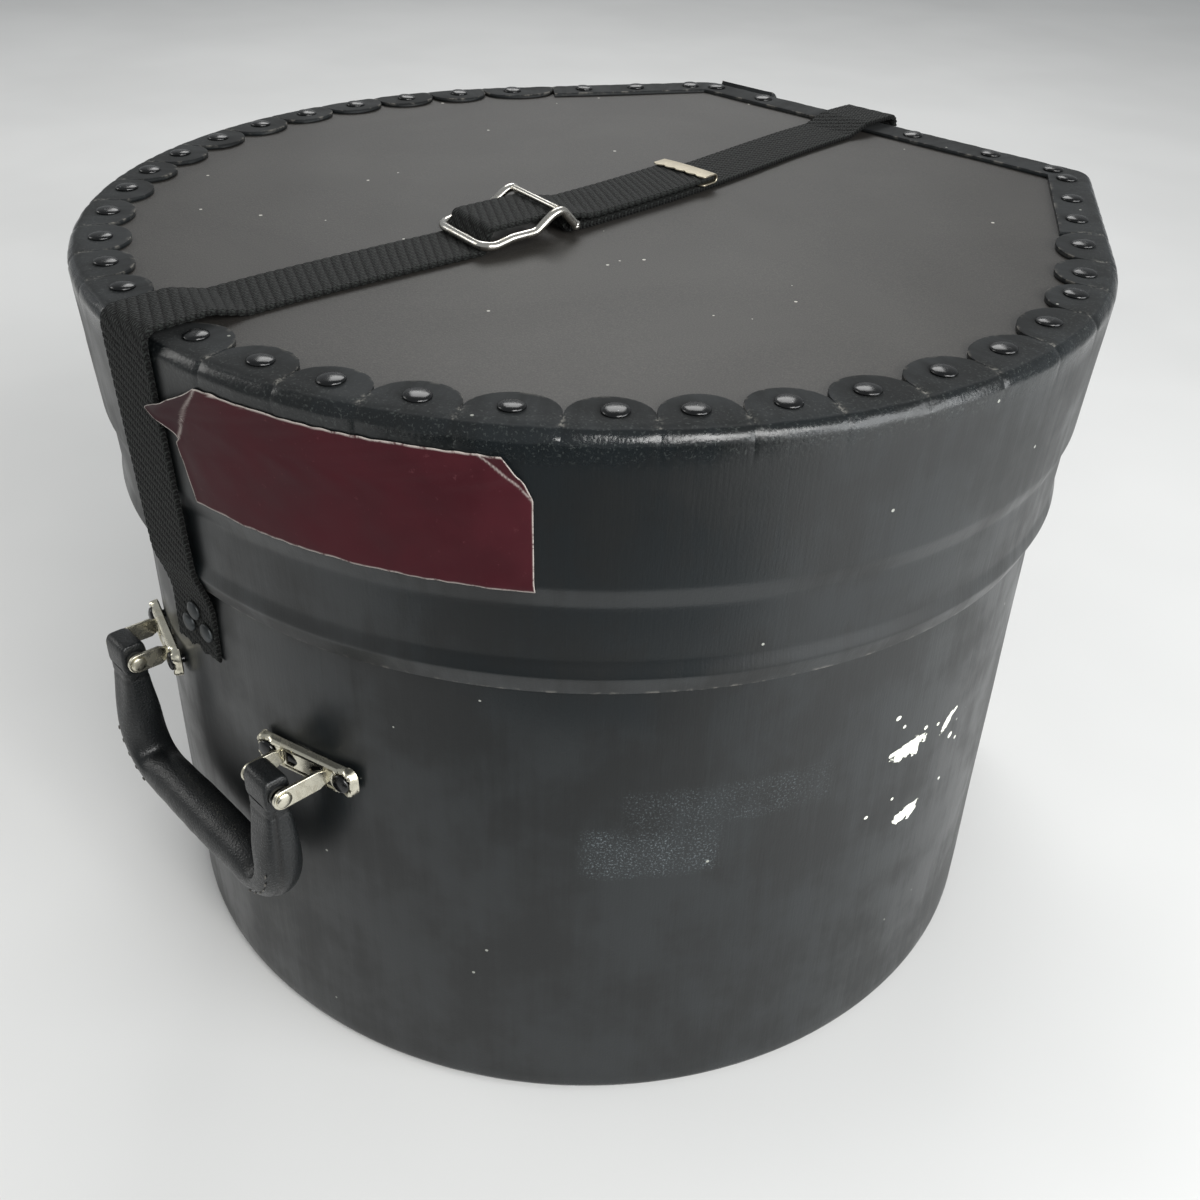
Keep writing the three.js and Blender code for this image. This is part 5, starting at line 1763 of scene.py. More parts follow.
class Strap:
    """The webbing strap with its rivets and the clamp on its free end."""

    def __init__(self, shell: ShellSizes, strap: StrapSizes, buckle: BuckleSizes, finishes: Finishes) -> None:
        """Works out the heights that the strap runs at.

        Args:
            shell: Sizes of the shell.
            strap: Sizes of the webbing.
            buckle: Sizes of the buckle.
            finishes: The materials.
        """
        self.shell = shell
        self.sizes = strap
        self.buckle = buckle
        self.finishes = finishes
        half = strap.thickness / 2
        self.half = half
        self.rim_z = shell.top + shell.rivet_height + shell.gap + half
        self.mid_z = shell.top - shell.sheet + shell.gap + half
        self.plane_z = self.mid_z + half + shell.gap + buckle.wire
        self.crest_z = self.plane_z + buckle.hump
        self.weave_z = self.crest_z - buckle.bar - shell.gap - half
        self.cross_y = buckle.front_y + buckle.shares[2] * buckle.length
        self.end_y = buckle.front_y + buckle.length
        self.free_z = self.mid_z + strap.thickness + 2 * shell.gap + strap.clamp_sheet
        self.tip_y = self.end_y + strap.free_end

    def build(self) -> None:
        """Makes every piece of the strap."""
        self.build_top(-1)
        self.build_top(1)
        self.build_drop(-1)
        self.build_drop(1)
        self.build_tip()
        self.build_fasteners()
        self.build_tail_fibres()

    def rim_route(self) -> Array:
        """Middle line of the turn over the rim, as points out and up."""
        s = self.shell
        out = s.lid_radius + s.gap + self.half
        centre = (out - self.sizes.bend, self.rim_z - self.sizes.bend)
        bend = arc(centre, self.sizes.bend, 0, math.pi / 2, 12)
        tabs = s.lid_radius - s.tab_root - s.tab_depth
        down = [[tabs, self.rim_z], [tabs - self.sizes.sag_run, self.mid_z]]
        return np.concatenate([[[out, s.eave]], bend, down])

    def sway(self, points: Array) -> Array:
        """Moves points with the strap.

        The strap bows sideways by its bow times the fade of Y. At the buckle it is turned: Y
        grows by the tangent of the skew, times the fade from the buckle's middle, times the
        distance from the strap's middle line.

        Args:
            points: Points about a straight strap.

        Returns:
            The moved points.
        """
        size, b = self.sizes, self.buckle
        x, y = points[..., 0], points[..., 1]
        turn = math.tan(math.radians(b.skew)) * fade(y - b.front_y - b.length / 2, b.skew_reach)
        moved = points.copy()
        moved[..., 0] = x + size.bow * fade(y, size.bow_reach)
        moved[..., 1] = y + turn * (x - size.middle_x)
        return moved

    def top_route(self, side: int) -> Array:
        """Middle line over the lid on the front (-1) or the back (1), as points of Y and Z.

        Args:
            side: -1 for the front and 1 for the back.

        Returns:
            The points.
        """
        s, b = self.shell, self.buckle
        rim = self.rim_route() * np.array([side, 1])
        if side < 0:
            rise = b.front_y + b.wire + self.half
            slope = (self.weave_z - self.mid_z) * 0.4
            rest = np.array([
                [rise - 24, self.mid_z + 0.1], [rise, self.mid_z], [rise + slope, self.weave_z],
                [self.cross_y, self.weave_z], [self.cross_y + 3, self.weave_z - self.half],
            ])
            return resample(np.concatenate([rim, rest]), 0.42, 1.1)
        loop = b.bar + s.gap + self.half
        bend = arc((self.end_y, self.plane_z), loop, -math.pi / 2, -3 * math.pi / 2, 14)
        rest = np.concatenate([
            [[self.end_y + 10, self.mid_z]], bend, [[self.end_y + 10, self.free_z]],
            [[self.tip_y - 0.9, self.free_z]],
        ])
        return resample(np.concatenate([rim, rest]), 0.42, 0.8)

    def ribbon(self, route: Array, start: float, ends: tuple) -> Surface:
        """Woven webbing along a route.

        Its faces stand out by the height of slanted ribs, which is a power of the size of a
        sine of the distance along plus a share of the distance across. The edges swell
        once for each stitch.

        Args:
            route: Middle line as points of X, Y and Z.
            start: Distance along the webbing at the route's first point.
            ends: How ragged each end is, in millimetres.

        Returns:
            The ribbon's surface.
        """
        size = self.sizes
        steps = np.linalg.norm(np.diff(route, axis=0), axis=1)
        along = np.concatenate([[0], np.cumsum(steps)])
        heading = np.gradient(route, axis=0)
        heading /= np.linalg.norm(heading, axis=1)[:, None]
        across = np.array([1.0, 0, 0])
        normal = np.cross(across, heading)
        normal /= np.linalg.norm(normal, axis=1)[:, None]
        flat = np.linspace(-1, 1, 62)
        turn = np.linspace(-math.pi / 2, math.pi / 2, 7)[1:-1]
        half_width = size.width / 2 - self.half
        bulge = half_width + self.half * np.cos(turn)
        w = np.concatenate([flat * half_width, bulge, -flat * half_width, -bulge])
        face, side = np.full(len(flat), self.half), self.half * np.sin(turn)
        h = np.concatenate([face, -side, -face, side])
        s_at, w_at = np.meshgrid(along + start, w, indexing="ij")
        edge = np.abs(h)[None] < self.half * 0.99
        relief = np.sign(h)[None] * (size.rib_height * (self.rib(s_at, w_at) - size.rib_level)) * ~edge
        swell = size.edge_bead * (np.cos(TURN * s_at / size.stitch) - 1) * edge * np.sign(w_at)
        grid = route[:, None] + across * (w_at + swell)[..., None]
        grid = grid + normal[:, None] * (h[None] + relief)[..., None]
        grid += heading[:, None] * self.ragged_ends(along, w, ends)[..., None]
        uv_w = np.concatenate([w, w[:1]])
        u, v = np.meshgrid(along + start, uv_w, indexing="ij")
        surface = Surface()
        surface.grid(grid, np.stack([v, u], axis=-1), ROUND, caps=True)
        return surface

    def rib(self, s_at: Array, w_at: Array) -> Array:
        """Height of the ribs from 0 to 1 at a distance along and across the webbing.

        Args:
            s_at: Distance along the webbing.
            w_at: Distance across it.

        Returns:
            The height.
        """
        size = self.sizes
        phase = (s_at + size.rib_slant * w_at) / size.rib_pitch
        return np.abs(np.sin(math.pi * phase)) ** RIB_POWER

    def ragged_ends(self, along: Array, w: Array, ends: tuple) -> Array:
        """How far each point shifts along the webbing, so that a cut end is uneven.

        Args:
            along: Distance along the webbing of each row.
            w: Distance across it of each column.
            ends: How ragged each end is, in millimetres.

        Returns:
            Rows by columns of millimetres.
        """
        cut = 0.6 * waves(w, np.abs(w) * 0.3, 41, (2, 7), 9) + 0.3 * waves(w, w * 0, 42, (1, 2.2), 6)
        first = bell(along, 1.2)[:, None] * ends[0]
        last = bell(along[-1] - along, 1.2)[:, None] * ends[1]
        return (first + last) * cut[None]

    def build_top(self, side: int) -> None:
        """The strap over the lid on the front (-1) or the back (1).

        Args:
            side: -1 for the front and 1 for the back.
        """
        line = self.top_route(side)
        route = np.column_stack([np.full(len(line), self.sizes.middle_x), line])
        name = "front" if side < 0 else "rear"
        surface = self.ribbon(route, 110.0, (0.0, 1.0 if side < 0 else 0.0))
        surface.warp(self.sway)
        obj = surface.build(f"webbing_{name}_top", self.finishes.webbing, sharp=60)
        dress(obj, Body.LID, Slot.WEBBING, f"strap_{name}_top")

    def drop_route(self, side: int) -> Array:
        """Middle line of a drop from the rim down to its end on the case, in X, Y and Z.

        Args:
            side: -1 for the front and 1 for the back.

        Returns:
            The points.
        """
        s, size = self.shell, self.sizes
        foot, bead = s.bands[:2]
        line = np.array([
            [s.lid_radius, s.eave + 0.02], [s.lid_radius - bead[0], s.lid_edge + bead[1]],
            [s.lid_radius - foot[0], s.lid_edge], [s.case_radius, size.anchor_top],
            [s.case_radius, size.anchor_low],
        ])
        line[:, 0] += s.gap + self.half
        fine = resample(line, 0.42, 3.5)
        lean = size.lean * (s.eave - fine[:, 1]) / (s.eave - size.anchor_low) if side < 0 else 0.0
        x = size.middle_x + lean * np.ones(len(fine))
        return np.column_stack([x, side * fine[:, 0], fine[:, 1]])

    def build_drop(self, side: int) -> None:
        """A drop of the strap, from its end on the case up to the lid's rim. It rides neither body.

        Args:
            side: -1 for the front and 1 for the back.
        """
        route = self.drop_route(side)[::-1]
        name = "front" if side < 0 else "rear"
        surface = self.ribbon(route, 0.0, (1.3, 0.0))
        obj = surface.build(f"webbing_{name}_drop", self.finishes.webbing, sharp=60)
        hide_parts(f"strap_{name}_drop")
        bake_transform(obj)
        log.info("%s: bends from the case to the lid", obj.name)

    def build_tip(self) -> None:
        """The clamp on the free end: a folded sheet with a row of teeth on its open side."""
        size = self.sizes
        sheet = size.clamp_sheet
        reach = self.half + self.shell.gap + sheet
        low, high = self.free_z - reach, self.free_z + reach
        across = np.linspace(-0.5, 0.5, 61)
        teeth = np.abs(np.cos(math.pi * across * 5)) ** 0.7
        open_y = self.tip_y - size.clamp + 1.2 * (1 - teeth)
        mid, radius = (low + high) / 2, (high - low) / 2
        t = np.linspace(0, math.pi, 9)
        round_end = np.stack([np.sin(t), np.cos(t)], axis=1)
        centre = np.array([self.tip_y - radius, mid])
        outside, inside = centre + radius * round_end, centre + (radius - sheet) * round_end[::-1]
        section = np.concatenate([
            [[0, high]], outside, [[0, low], [0, low + sheet]], inside, [[0, high - sheet]],
        ])
        grid = np.empty((len(across), len(section), 3))
        grid[..., 0] = (size.middle_x + across * (size.width + 2 * sheet))[:, None]
        grid[..., 1:] = section[None]
        for k in (0, 10, 11, len(section) - 1):
            grid[:, k, 1] = open_y
        crown = 0.25 * (1 - (2 * across) ** 2)
        grid[..., 2] += crown[:, None] * (section[:, 1] > mid)[None]
        surface = Surface()
        surface.grid(grid, closed=ROUND, caps=True)
        surface.warp(self.sway)
        obj = surface.build("strap_clamp", self.finishes.clamp)
        bevel(obj, 0.18)
        dress(obj, Body.LID, Slot.TIP, "strap_tip")

    def build_fasteners(self) -> None:
        """The three rivets at each end of the strap, and the washers behind them."""
        s, size = self.shell, self.sizes
        ups, shares = (0.46, 0.8, 0.5), (-0.09, 0.085, 0.335)
        for side, name in ((-1, "front"), (1, "rear")):
            for i, (share, up) in enumerate(zip(shares, ups)):
                x = size.middle_x + (size.lean if side < 0 else 0) + share * size.width
                z = size.anchor_low + up * (size.anchor_top - size.anchor_low)
                out = s.case_radius + size.thickness + 2 * s.gap
                place = place_on_wall(side * math.pi / 2, out, z, -side * x)
                head = Surface()
                head.turned(dome(size.rivet_radius, size.rivet_height), 24, place)
                head.turned(np.array([[size.shank, -4.6], [size.shank, 0.1]]), 14, place)
                obj = head.build(f"strap_{name}_rivet_head_{i + 1}", self.finishes.strap_rivet, sharp=50)
                dress(obj, Body.CASE, Slot.STRAP_RIVET, f"strap_{name}_rivet_{i + 1}")
                back_washer(f"strap_{name}_washer", i + 1, self.finishes)

    def build_tail_fibres(self) -> None:
        """Loose fibres that stick out of the front strap's cut end, near the cross bar."""
        rng = np.random.default_rng(77)
        count = self.sizes.fibres
        x = self.sizes.middle_x + rng.uniform(-0.49, 0.49, count) * self.sizes.width
        y = np.full(count, self.cross_y + 2.6)
        z = self.weave_z - self.half + rng.uniform(-0.6, 0.8, count)
        length = rng.uniform(0.8, 2.4, count) * (1 + 1.6 * smooth((x - self.sizes.middle_x) / 10))
        sideways = rng.normal(0, 0.35, count)
        onward = rng.uniform(0.3, 1, count)
        way = np.stack([sideways, onward, rng.normal(-0.25, 0.4, count)], axis=1)
        way /= np.linalg.norm(way, axis=1)[:, None]
        t = np.linspace(0, 1, 4)[:, None]
        surface = Surface()
        for k in range(count):
            droop = np.array([0, 0, -0.35]) * t**2 * length[k]
            path = np.array([x[k], y[k], z[k]]) + way[k] * t * length[k] + droop
            surface.rod(path, (0.09, 0.08, 0.06, 0.02), 4, (0.1, 0.2, 1.0))
        surface.warp(self.sway)
        obj = surface.build("webbing_tail_fibres", self.finishes.webbing)
        dress(obj, Body.LID, Slot.WEBBING, "strap_front_top")


def bevel(obj: bpy.types.Object, width: float, segments: int = 2) -> None:
    """Rounds an object's sharp edges by a width in millimetres.

    Args:
        obj: The object.
        width: Width of the bevel, in millimetres.
        segments: Number of facets across it.
    """
    cut = obj.modifiers.new("bevel", "BEVEL")
    cut.width = width * MM
    cut.segments = segments
    cut.limit_method = "ANGLE"
    cut.angle_limit = math.radians(40)


def steps_between(marks: Sequence, counts: Sequence) -> Array:
    """Numbers that run evenly from each mark to the next, with a count of steps for each."""
    parts = [np.linspace(a, b, n)[:-1] for a, b, n in zip(marks[:-1], marks[1:], counts)]
    return np.concatenate([*parts, marks[-1:]])


def superellipse(c: Array, s: Array, power: Array | float) -> Array:
    """Reach of a rounded square of radius 1 at the cosine and sine of an angle.

    It is the sum of both sizes to a power, to minus one over that power.
    """
    return (np.abs(c) ** power + np.abs(s) ** power) ** (-1 / power)


def back_washer(stem: str, number: int, finishes: Finishes) -> None:
    """A dished washer on the inside of the case wall, in the box of the node that it replaces.

    Args:
        stem: Start of the node's name.
        number: Number at the end of the node's name.
        finishes: The materials.
    """
    node = f"{stem}_{number}"
    low, high = box_mm(node)
    middle = (low + high) / 2 - np.array([0, SHELL.middle_y, 0])
    angle = math.atan2(middle[1], middle[0])
    place = place_on_wall(angle, float(np.hypot(middle[0], middle[1])), float(middle[2]))
    profile = np.array([[1.7, -0.5], [3.5, -0.35], [3.6, 0.0], [3.5, 0.35], [1.7, 0.4]])
    surface = Surface()
    surface.turned(profile, 24, place)
    clinch = np.array([[0.2, -1.5], [1.8, -1.4], [2.5, -0.9], [2.5, -0.45]])
    surface.turned(clinch, 18, place)
    dress(surface.build(f"{node}_disc", finishes.steel, sharp=50), Body.CASE, Slot.STEEL, node)


class Buckle:
    """The wire buckle: a humped frame, its end bar and the cross bar."""

    def __init__(self, strap: Strap) -> None:
        """Keeps the strap that the buckle is woven in.

        Args:
            strap: The strap.
        """
        self.strap = strap
        self.sizes = strap.buckle
        self.finishes = strap.finishes

    def route(self) -> Array:
        """Middle line of the frame's wire, from the left end of the end bar to the right one."""
        b, st = self.sizes, self.strap
        x0 = st.sizes.middle_x
        low, trough, crest = st.plane_z, st.plane_z + b.trough, st.crest_z
        arm = np.array([
            [b.half_width, b.front_y + b.corner, low],
            [b.half_width, b.front_y + b.shares[0] * b.length, trough],
            [b.half_width, b.front_y + b.shares[1] * b.length, trough],
            [b.half_width, st.cross_y - 3.4, crest - 0.9],
            [b.half_width, st.cross_y - 1.2, crest - 0.25],
            [b.half_width, st.cross_y + 1.2, crest - 0.25],
            [b.half_width, st.end_y, low],
        ])
        bend = arc((b.half_width - b.corner, b.front_y + b.corner), b.corner, -math.pi / 2, 0, 9)
        right = np.concatenate([np.column_stack([bend, np.full(9, low)]), arm[1:]])
        left = right * np.array([-1, 1, 1])
        line = np.concatenate([left[::-1], right]) + np.array([x0, 0, 0])
        return resample(line, 0.7, 1.3)

    def build(self) -> None:
        """Makes the frame and the cross bar."""
        b, st = self.sizes, self.strap
        x0 = st.sizes.middle_x
        frame_wire = Surface()
        frame_wire.rod(self.route(), b.wire, 20, (0.0, 0.02, 1.0))
        frame_wire.rod(self.bar_line(24, b.half_width, st.end_y, st.plane_z), b.bar, 18, (0, 0, 1.0))
        ball = dome(b.wire * 1.08, b.wire * 1.08, 8)
        for side in (-1, 1):
            spot = Matrix.Translation((x0 + side * b.half_width, st.end_y, st.plane_z))
            frame_wire.turned(ball, 16, spot)
            frame_wire.turned(ball, 16, spot @ Matrix.Rotation(math.pi, 4, "X"))
        frame_wire.warp(st.sway)
        wire = frame_wire.build("buckle_wire", self.finishes.nickel, sharp=60)
        dress(wire, Body.LID, Slot.BUCKLE, "buckle_frame")
        cross = Surface()
        reach = b.half_width - b.wire - 0.15
        cross.rod(self.bar_line(30, reach, st.cross_y, st.crest_z), b.bar, 18, (0, 0, 1.0))
        cross.warp(st.sway)
        bar = cross.build("buckle_bar", self.finishes.nickel, sharp=60)
        dress(bar, Body.LID, Slot.BUCKLE, "buckle_cross_bar")

    def bar_line(self, count: int, reach: float, y: float, z: float) -> Array:
        """Middle line of a bar across the strap.

        Args:
            count: Number of points.
            reach: How far it reaches on each side of the strap's middle.
            y: Its place along the strap.
            z: Its height.

        Returns:
            The points.
        """
        x = np.linspace(-reach, reach, count) + self.strap.sizes.middle_x
        return np.column_stack([x, np.full(count, y), np.full(count, z)])


class Handle:
    """The leather grip on its pins, with the two stamped plates."""

    def __init__(self, shell: ShellSizes, sizes: HandleSizes, finishes: Finishes) -> None:
        """Works out where the plates' faces lie.

        Args:
            shell: Sizes of the shell.
            sizes: Sizes of the handle.
            finishes: The materials.
        """
        self.shell = shell
        self.sizes = sizes
        self.finishes = finishes
        self.face_out = shell.case_radius + shell.gap + sizes.plate_depth
        self.plate_turn = math.asin((sizes.leg_x - sizes.ear_splay) / self.face_out)
        slant = math.tan(self.plate_turn)
        self.pin_to_face = sizes.pin_out - self.face_out / math.cos(self.plate_turn) + sizes.leg_x * slant
        self.ear_turn = math.atan(sizes.ear_splay / self.pin_to_face)

    def frame_place(self) -> Matrix:
        """The handle's own frame: X along the pins, -Y out of the wall."""
        return Matrix.Rotation(self.sizes.turn, 4, "Z")

    def build(self) -> None:
        """Makes every piece of the handle."""
        for side, name in ((-1, "left"), (1, "right")):
            self.build_plate(side, name)
            self.build_pin(side, name)
            self.build_rivets(side, name)
        self.build_grip()

    def plate_place(self, side: int) -> Matrix:
        """A frame on a plate's face: X along it, Y up and Z out of it.

        Args:
            side: -1 for the left and 1 for the right.

        Returns:
            The frame.
        """
        z = self.sizes.pin_z
        turn = self.frame_place() @ Matrix.Rotation(side * self.plate_turn, 4, "Z")
        upright = Matrix(((1, 0, 0, 0), (0, 0, -1, 0), (0, 1, 0, 0), (0, 0, 0, 1)))
        return turn @ Matrix.Translation((0, -self.face_out, z)) @ upright

    def build_plate(self, side: int, name: str) -> None:
        """A stamped plate.

        Its sheet rises from the wall to the face within a short shoulder, stands a little
        prouder in a lip along its border and is dished round each rivet. Two windows are
        cut where its ears were bent out.

        Args:
            side: -1 for the left and 1 for the right.
            name: The same side as a word, for its name.
        """
        h = self.sizes
        half_l, half_h, corner = h.plate_length / 2, h.plate_height / 2, h.plate_corner
        w_out = h.ear_spacing / 2 - h.ear_thickness
        w_in = w_out - h.window_width
        u = steps_between((-half_l, -w_out, -w_in, w_in, w_out, half_l), (64, 20, 16, 20, 64))
        half_window = h.window_height / 2
        v = steps_between((-half_h, -half_window, half_window, half_h), (22, 20, 22))
        x, y = np.meshgrid(u, v)
        over = np.maximum(np.abs(y) - (half_h - corner), 0)
        length = half_l - corner + np.sqrt(np.maximum(corner**2 - over**2, 0))
        x = x * length / half_l
        border = np.minimum(length - np.abs(x), half_h - np.abs(y))
        rise = smooth(border / 0.9) * (h.plate_depth - h.plate_lip)
        lip = h.plate_lip * bell(border - 0.9, 0.35)
        ring = np.hypot(np.abs(x) - h.plate_rivets / 2, y)
        dish = -0.6 * smooth((4.4 - ring) / 0.5)
        out = rise + lip + dish * smooth(border / 0.6) - h.plate_depth
        cell_x, cell_y = (np.abs((v[:-1, :-1] + v[1:, 1:]) / 2) for v in (x, y))
        hole = (cell_x > w_in) & (cell_x < w_out) & (cell_y < half_window)
        slanted = (cell_x - w_in) * 1.15 < cell_y - 0.4
        surface = Surface()
        grid = placed(np.stack([x, y, out], axis=-1), self.plate_place(side))
        surface.grid(grid, holes=hole & ~slanted)
        obj = surface.build(f"plate_{name}_tray", self.finishes.plate)
        thicken(obj, 0.9, -1)
        bevel(obj, 0.12)
        dress(obj, Body.CASE, Slot.PLATE, f"handle_{name}_plate")
        self.build_ears(side, name)

    def build_ears(self, side: int, name: str) -> None:
        """The two ears that the plate carries: flat strips with round ends about the pin.

        Args:
            side: -1 for the left and 1 for the right.
            name: The same side as a word, for its name.
        """
        h = self.sizes
        half = h.ear_width / 2
        tip = arc((0, 0), half, math.pi / 2, 3 * math.pi / 2, 20)
        surface = Surface()
        for end in (-1, 1):
            reach = self.pin_to_face + side * end * h.ear_spacing / 2 * math.tan(self.plate_turn) + 0.5
            low = half - 1.0
            neck = np.array([[reach - 2, -low], [reach, -low], [reach, low], [reach - 2, low]])
            outline = np.concatenate([tip, [[reach - 4, -half]], neck, [[reach - 4, half]]])
            place = self.pin_place(side) @ Matrix.Translation((end * h.ear_spacing / 2, 0, 0))
            stand = Matrix(((0, 0, 1, 0), (1, 0, 0, 0), (0, 1, 0, 0), (0, 0, 0, 1)))
            surface.prism(outline, h.ear_thickness, place @ stand)
        obj = surface.build(f"plate_{name}_ears", self.finishes.plate)
        bevel(obj, 0.3, 3)
        dress(obj, Body.CASE, Slot.PLATE, f"handle_{name}_plate")

    def pin_place(self, side: int) -> Matrix:
        """A frame in the middle of a pin: X along it and -Y out of the wall.

        Args:
            side: -1 for the left and 1 for the right.

        Returns:
            The frame.
        """
        h = self.sizes
        spot = Matrix.Translation((side * h.leg_x, -h.pin_out, h.pin_z))
        return self.frame_place() @ spot @ Matrix.Rotation(side * self.ear_turn, 4, "Z")

    def build_pin(self, side: int, name: str) -> None:
        """The pin through both ears with a low head on each side, and the bush round it.

        Args:
            side: -1 for the left and 1 for the right.
            name: The same side as a word, for its name.
        """
        h = self.sizes
        half = h.ear_spacing / 2 + h.ear_thickness / 2 + 0.05
        lie = self.pin_place(side) @ Matrix.Rotation(math.pi / 2, 4, "Y")
        head = dome(h.pin_head, 1.0, 8) + np.array([0, half])
        shaft = [[h.pin_radius, half], [h.pin_radius, -half]]
        surface = Surface()
        surface.turned(np.concatenate([head[::-1], shaft, head * np.array([1, -1])]), 24, lie)
        pin = surface.build(f"pin_{name}_shaft", self.finishes.plate, sharp=50)
        dress(pin, Body.CASE, Slot.PLATE, f"handle_{name}_pin")
        self.build_bush(side, name)

    def build_bush(self, side: int, name: str) -> None:
        """The sleeve in an eye of the grip, in the box of the node that it replaces.

        Args:
            side: -1 for the left and 1 for the right.
            name: The same side as a word, for its name.
        """
        h = self.sizes
        low, high = box_mm(f"handle_{name}_bush")
        outer = (high[2] - low[2]) / 2
        wide = (high[0] - low[0]) / 2 - 0.4
        section = np.array([[outer - 0.8, -wide], [outer, -wide], [outer, wide], [outer - 0.8, wide]])
        grid = np.empty((4, 32, 3))
        around = direction(np.linspace(0, TURN, 32, endpoint=False))
        grid[..., 1:] = section[:, 0][:, None, None] * around[None]
        grid[..., 0] = section[:, 1][:, None]
        spot = self.frame_place() @ Matrix.Translation((side * h.leg_x, -h.pin_out, h.pin_z))
        bush = Surface()
        bush.grid(placed(grid, spot), closed=RING)
        sleeve = bush.build(f"bush_{name}_sleeve", self.finishes.steel)
        dress(sleeve, Body.HANDLE, Slot.STEEL, f"handle_{name}_bush")

    def build_rivets(self, side: int, name: str) -> None:
        """The two rivets of a plate, each in its dished ring, and the washers behind them.

        Args:
            side: -1 for the left and 1 for the right.
            name: The same side as a word, for its name.
        """
        h = self.sizes
        for i, end in enumerate((-1, 1)):
            place = self.plate_place(side) @ Matrix.Translation((end * h.plate_rivets / 2, 0, 0.3))
            surface = Surface()
            surface.turned(dome(h.plate_rivet_radius, h.plate_rivet_height), 26, place)
            surface.turned(np.array([[h.shank, -8], [h.shank, 0.05]]), 14, place)
            obj = surface.build(f"plate_{name}_rivet_head_{i + 1}", self.finishes.enamel, sharp=50)
            dress(obj, Body.CASE, Slot.BLACK_RIVET, f"handle_{name}_rivet_{i + 1}")
            back_washer(f"handle_{name}_washer", i + 1, self.finishes)

    def build_grip(self) -> None:
        """The grip: a stuffed round of leather whose legs flatten into loops round the pins.

        The path is two upright legs joined by two bends and a bar. Round the path the
        section is a superellipse whose exponent grows from 2 on the bar to a leg's own power.
        """
        h = self.sizes
        low = -h.drop
        bend = arc((h.leg_x - h.bend, low + h.bend), h.bend, 0, -math.pi / 2, 24)
        right = np.concatenate([[[h.leg_x, -4.2]], bend])
        half = np.column_stack([right[:, 0], np.zeros(len(right)), right[:, 1]])
        path = resample(np.concatenate([half * np.array([-1, 1, 1]), half[::-1]]), 0.75, 1.5)
        heading = np.gradient(path, axis=0)
        heading /= np.linalg.norm(heading, axis=1)[:, None]
        inward = np.cross(heading, np.array([0, 1.0, 0]))[:, None]
        turn = np.linspace(0, TURN, 56, endpoint=False)
        leg = smooth((path[:, 2] + h.drop - 11.5) / 29)[:, None]
        c, s = np.cos(turn)[None], np.sin(turn)[None]
        reach = superellipse(c, s, 2 + (h.leg_power - 2) * leg)
        wide = h.grip_radius + (h.eye_width / 2 - h.grip_radius) * leg
        deep = h.grip_radius + (h.eye_depth - h.grip_radius) * leg
        seam = h.seam_depth * bell((np.abs(turn - math.pi * 1.87) * 8)[None], 0.9)
        crease = h.crease_depth * bell(path[:, 2] + 8.5, 0.7)[:, None]
        swell = self.grip_swell(path, turn) - seam - crease
        outward = np.array([0, 1.0, 0])
        out_share, in_share = s * reach, c * reach
        grid = path[:, None] - inward * (in_share * wide)[..., None]
        grid = grid + outward * (out_share * deep)[..., None]
        grid += (outward * out_share[..., None] - inward * in_share[..., None]) * swell[..., None]
        grid += self.heel_shift(path, c)
        masks = blank_masks(grid)
        # painted shade mask for the seam's groove and the crease below the eyes
        masks[..., 0] = np.maximum(seam / h.seam_depth, crease / h.crease_depth * 0.5)
        surface = Surface()
        place = self.frame_place() @ Matrix.Translation((0, -h.pin_out, h.pin_z))
        surface.grid(placed(grid, place), closed=ROUND, masks=masks, caps=True)
        self.add_eyes(surface, place)
        self.add_stitches(surface, place)
        obj = surface.build("grip_leather", self.finishes.leather, sharp=60)
        dress(obj, Body.HANDLE, Slot.GRIP, "handle_grip")

    def grip_swell(self, path: Array, turn: Array) -> Array:
        """How far the leather stands out at each point of the path and angle round it.

        It is the stuffing along the underside of the bar, plus random folds.

        Args:
            path: Middle line of the grip.
            turn: Angles round it, in radians.

        Returns:
            Path points by angles of millimetres.
        """
        at_x, at_z = path[:, 0][:, None], path[:, 2][:, None]
        bar = smooth((28 - np.abs(at_x)) / 20) * smooth(-(at_z + self.sizes.drop - 14.5) / 10)
        return self.sizes.stuffing * bar + 0.05 * waves(at_x + at_z * 0.3, turn[None] * 8, 61, (5, 16), 16)

    def heel_shift(self, path: Array, c: Array) -> Array:
        """How far the two lower corners of the grip are pushed out and down.

        It is a bell curve about each corner, times the smooth share of the outer side.

        Args:
            path: Middle line of the grip.
            c: Cosine of each angle round it.

        Returns:
            Path points by angles by three coordinates.
        """
        h = self.sizes
        at_x, at_z = path[:, 0][:, None], path[:, 2][:, None]
        heel_x, heel_z = h.leg_x - 9, 6 - h.drop
        near = bell(at_z - heel_z, 8) * smooth(-c)
        heel = bell(at_x - heel_x, 7) * near + 0.7 * bell(at_x + heel_x, 7) * near
        way = np.stack([np.sign(path[:, 0]), 0 * path[:, 0], -np.ones(len(path))], axis=1)
        return (heel * h.heel_out)[..., None] * way[:, None] * 0.7

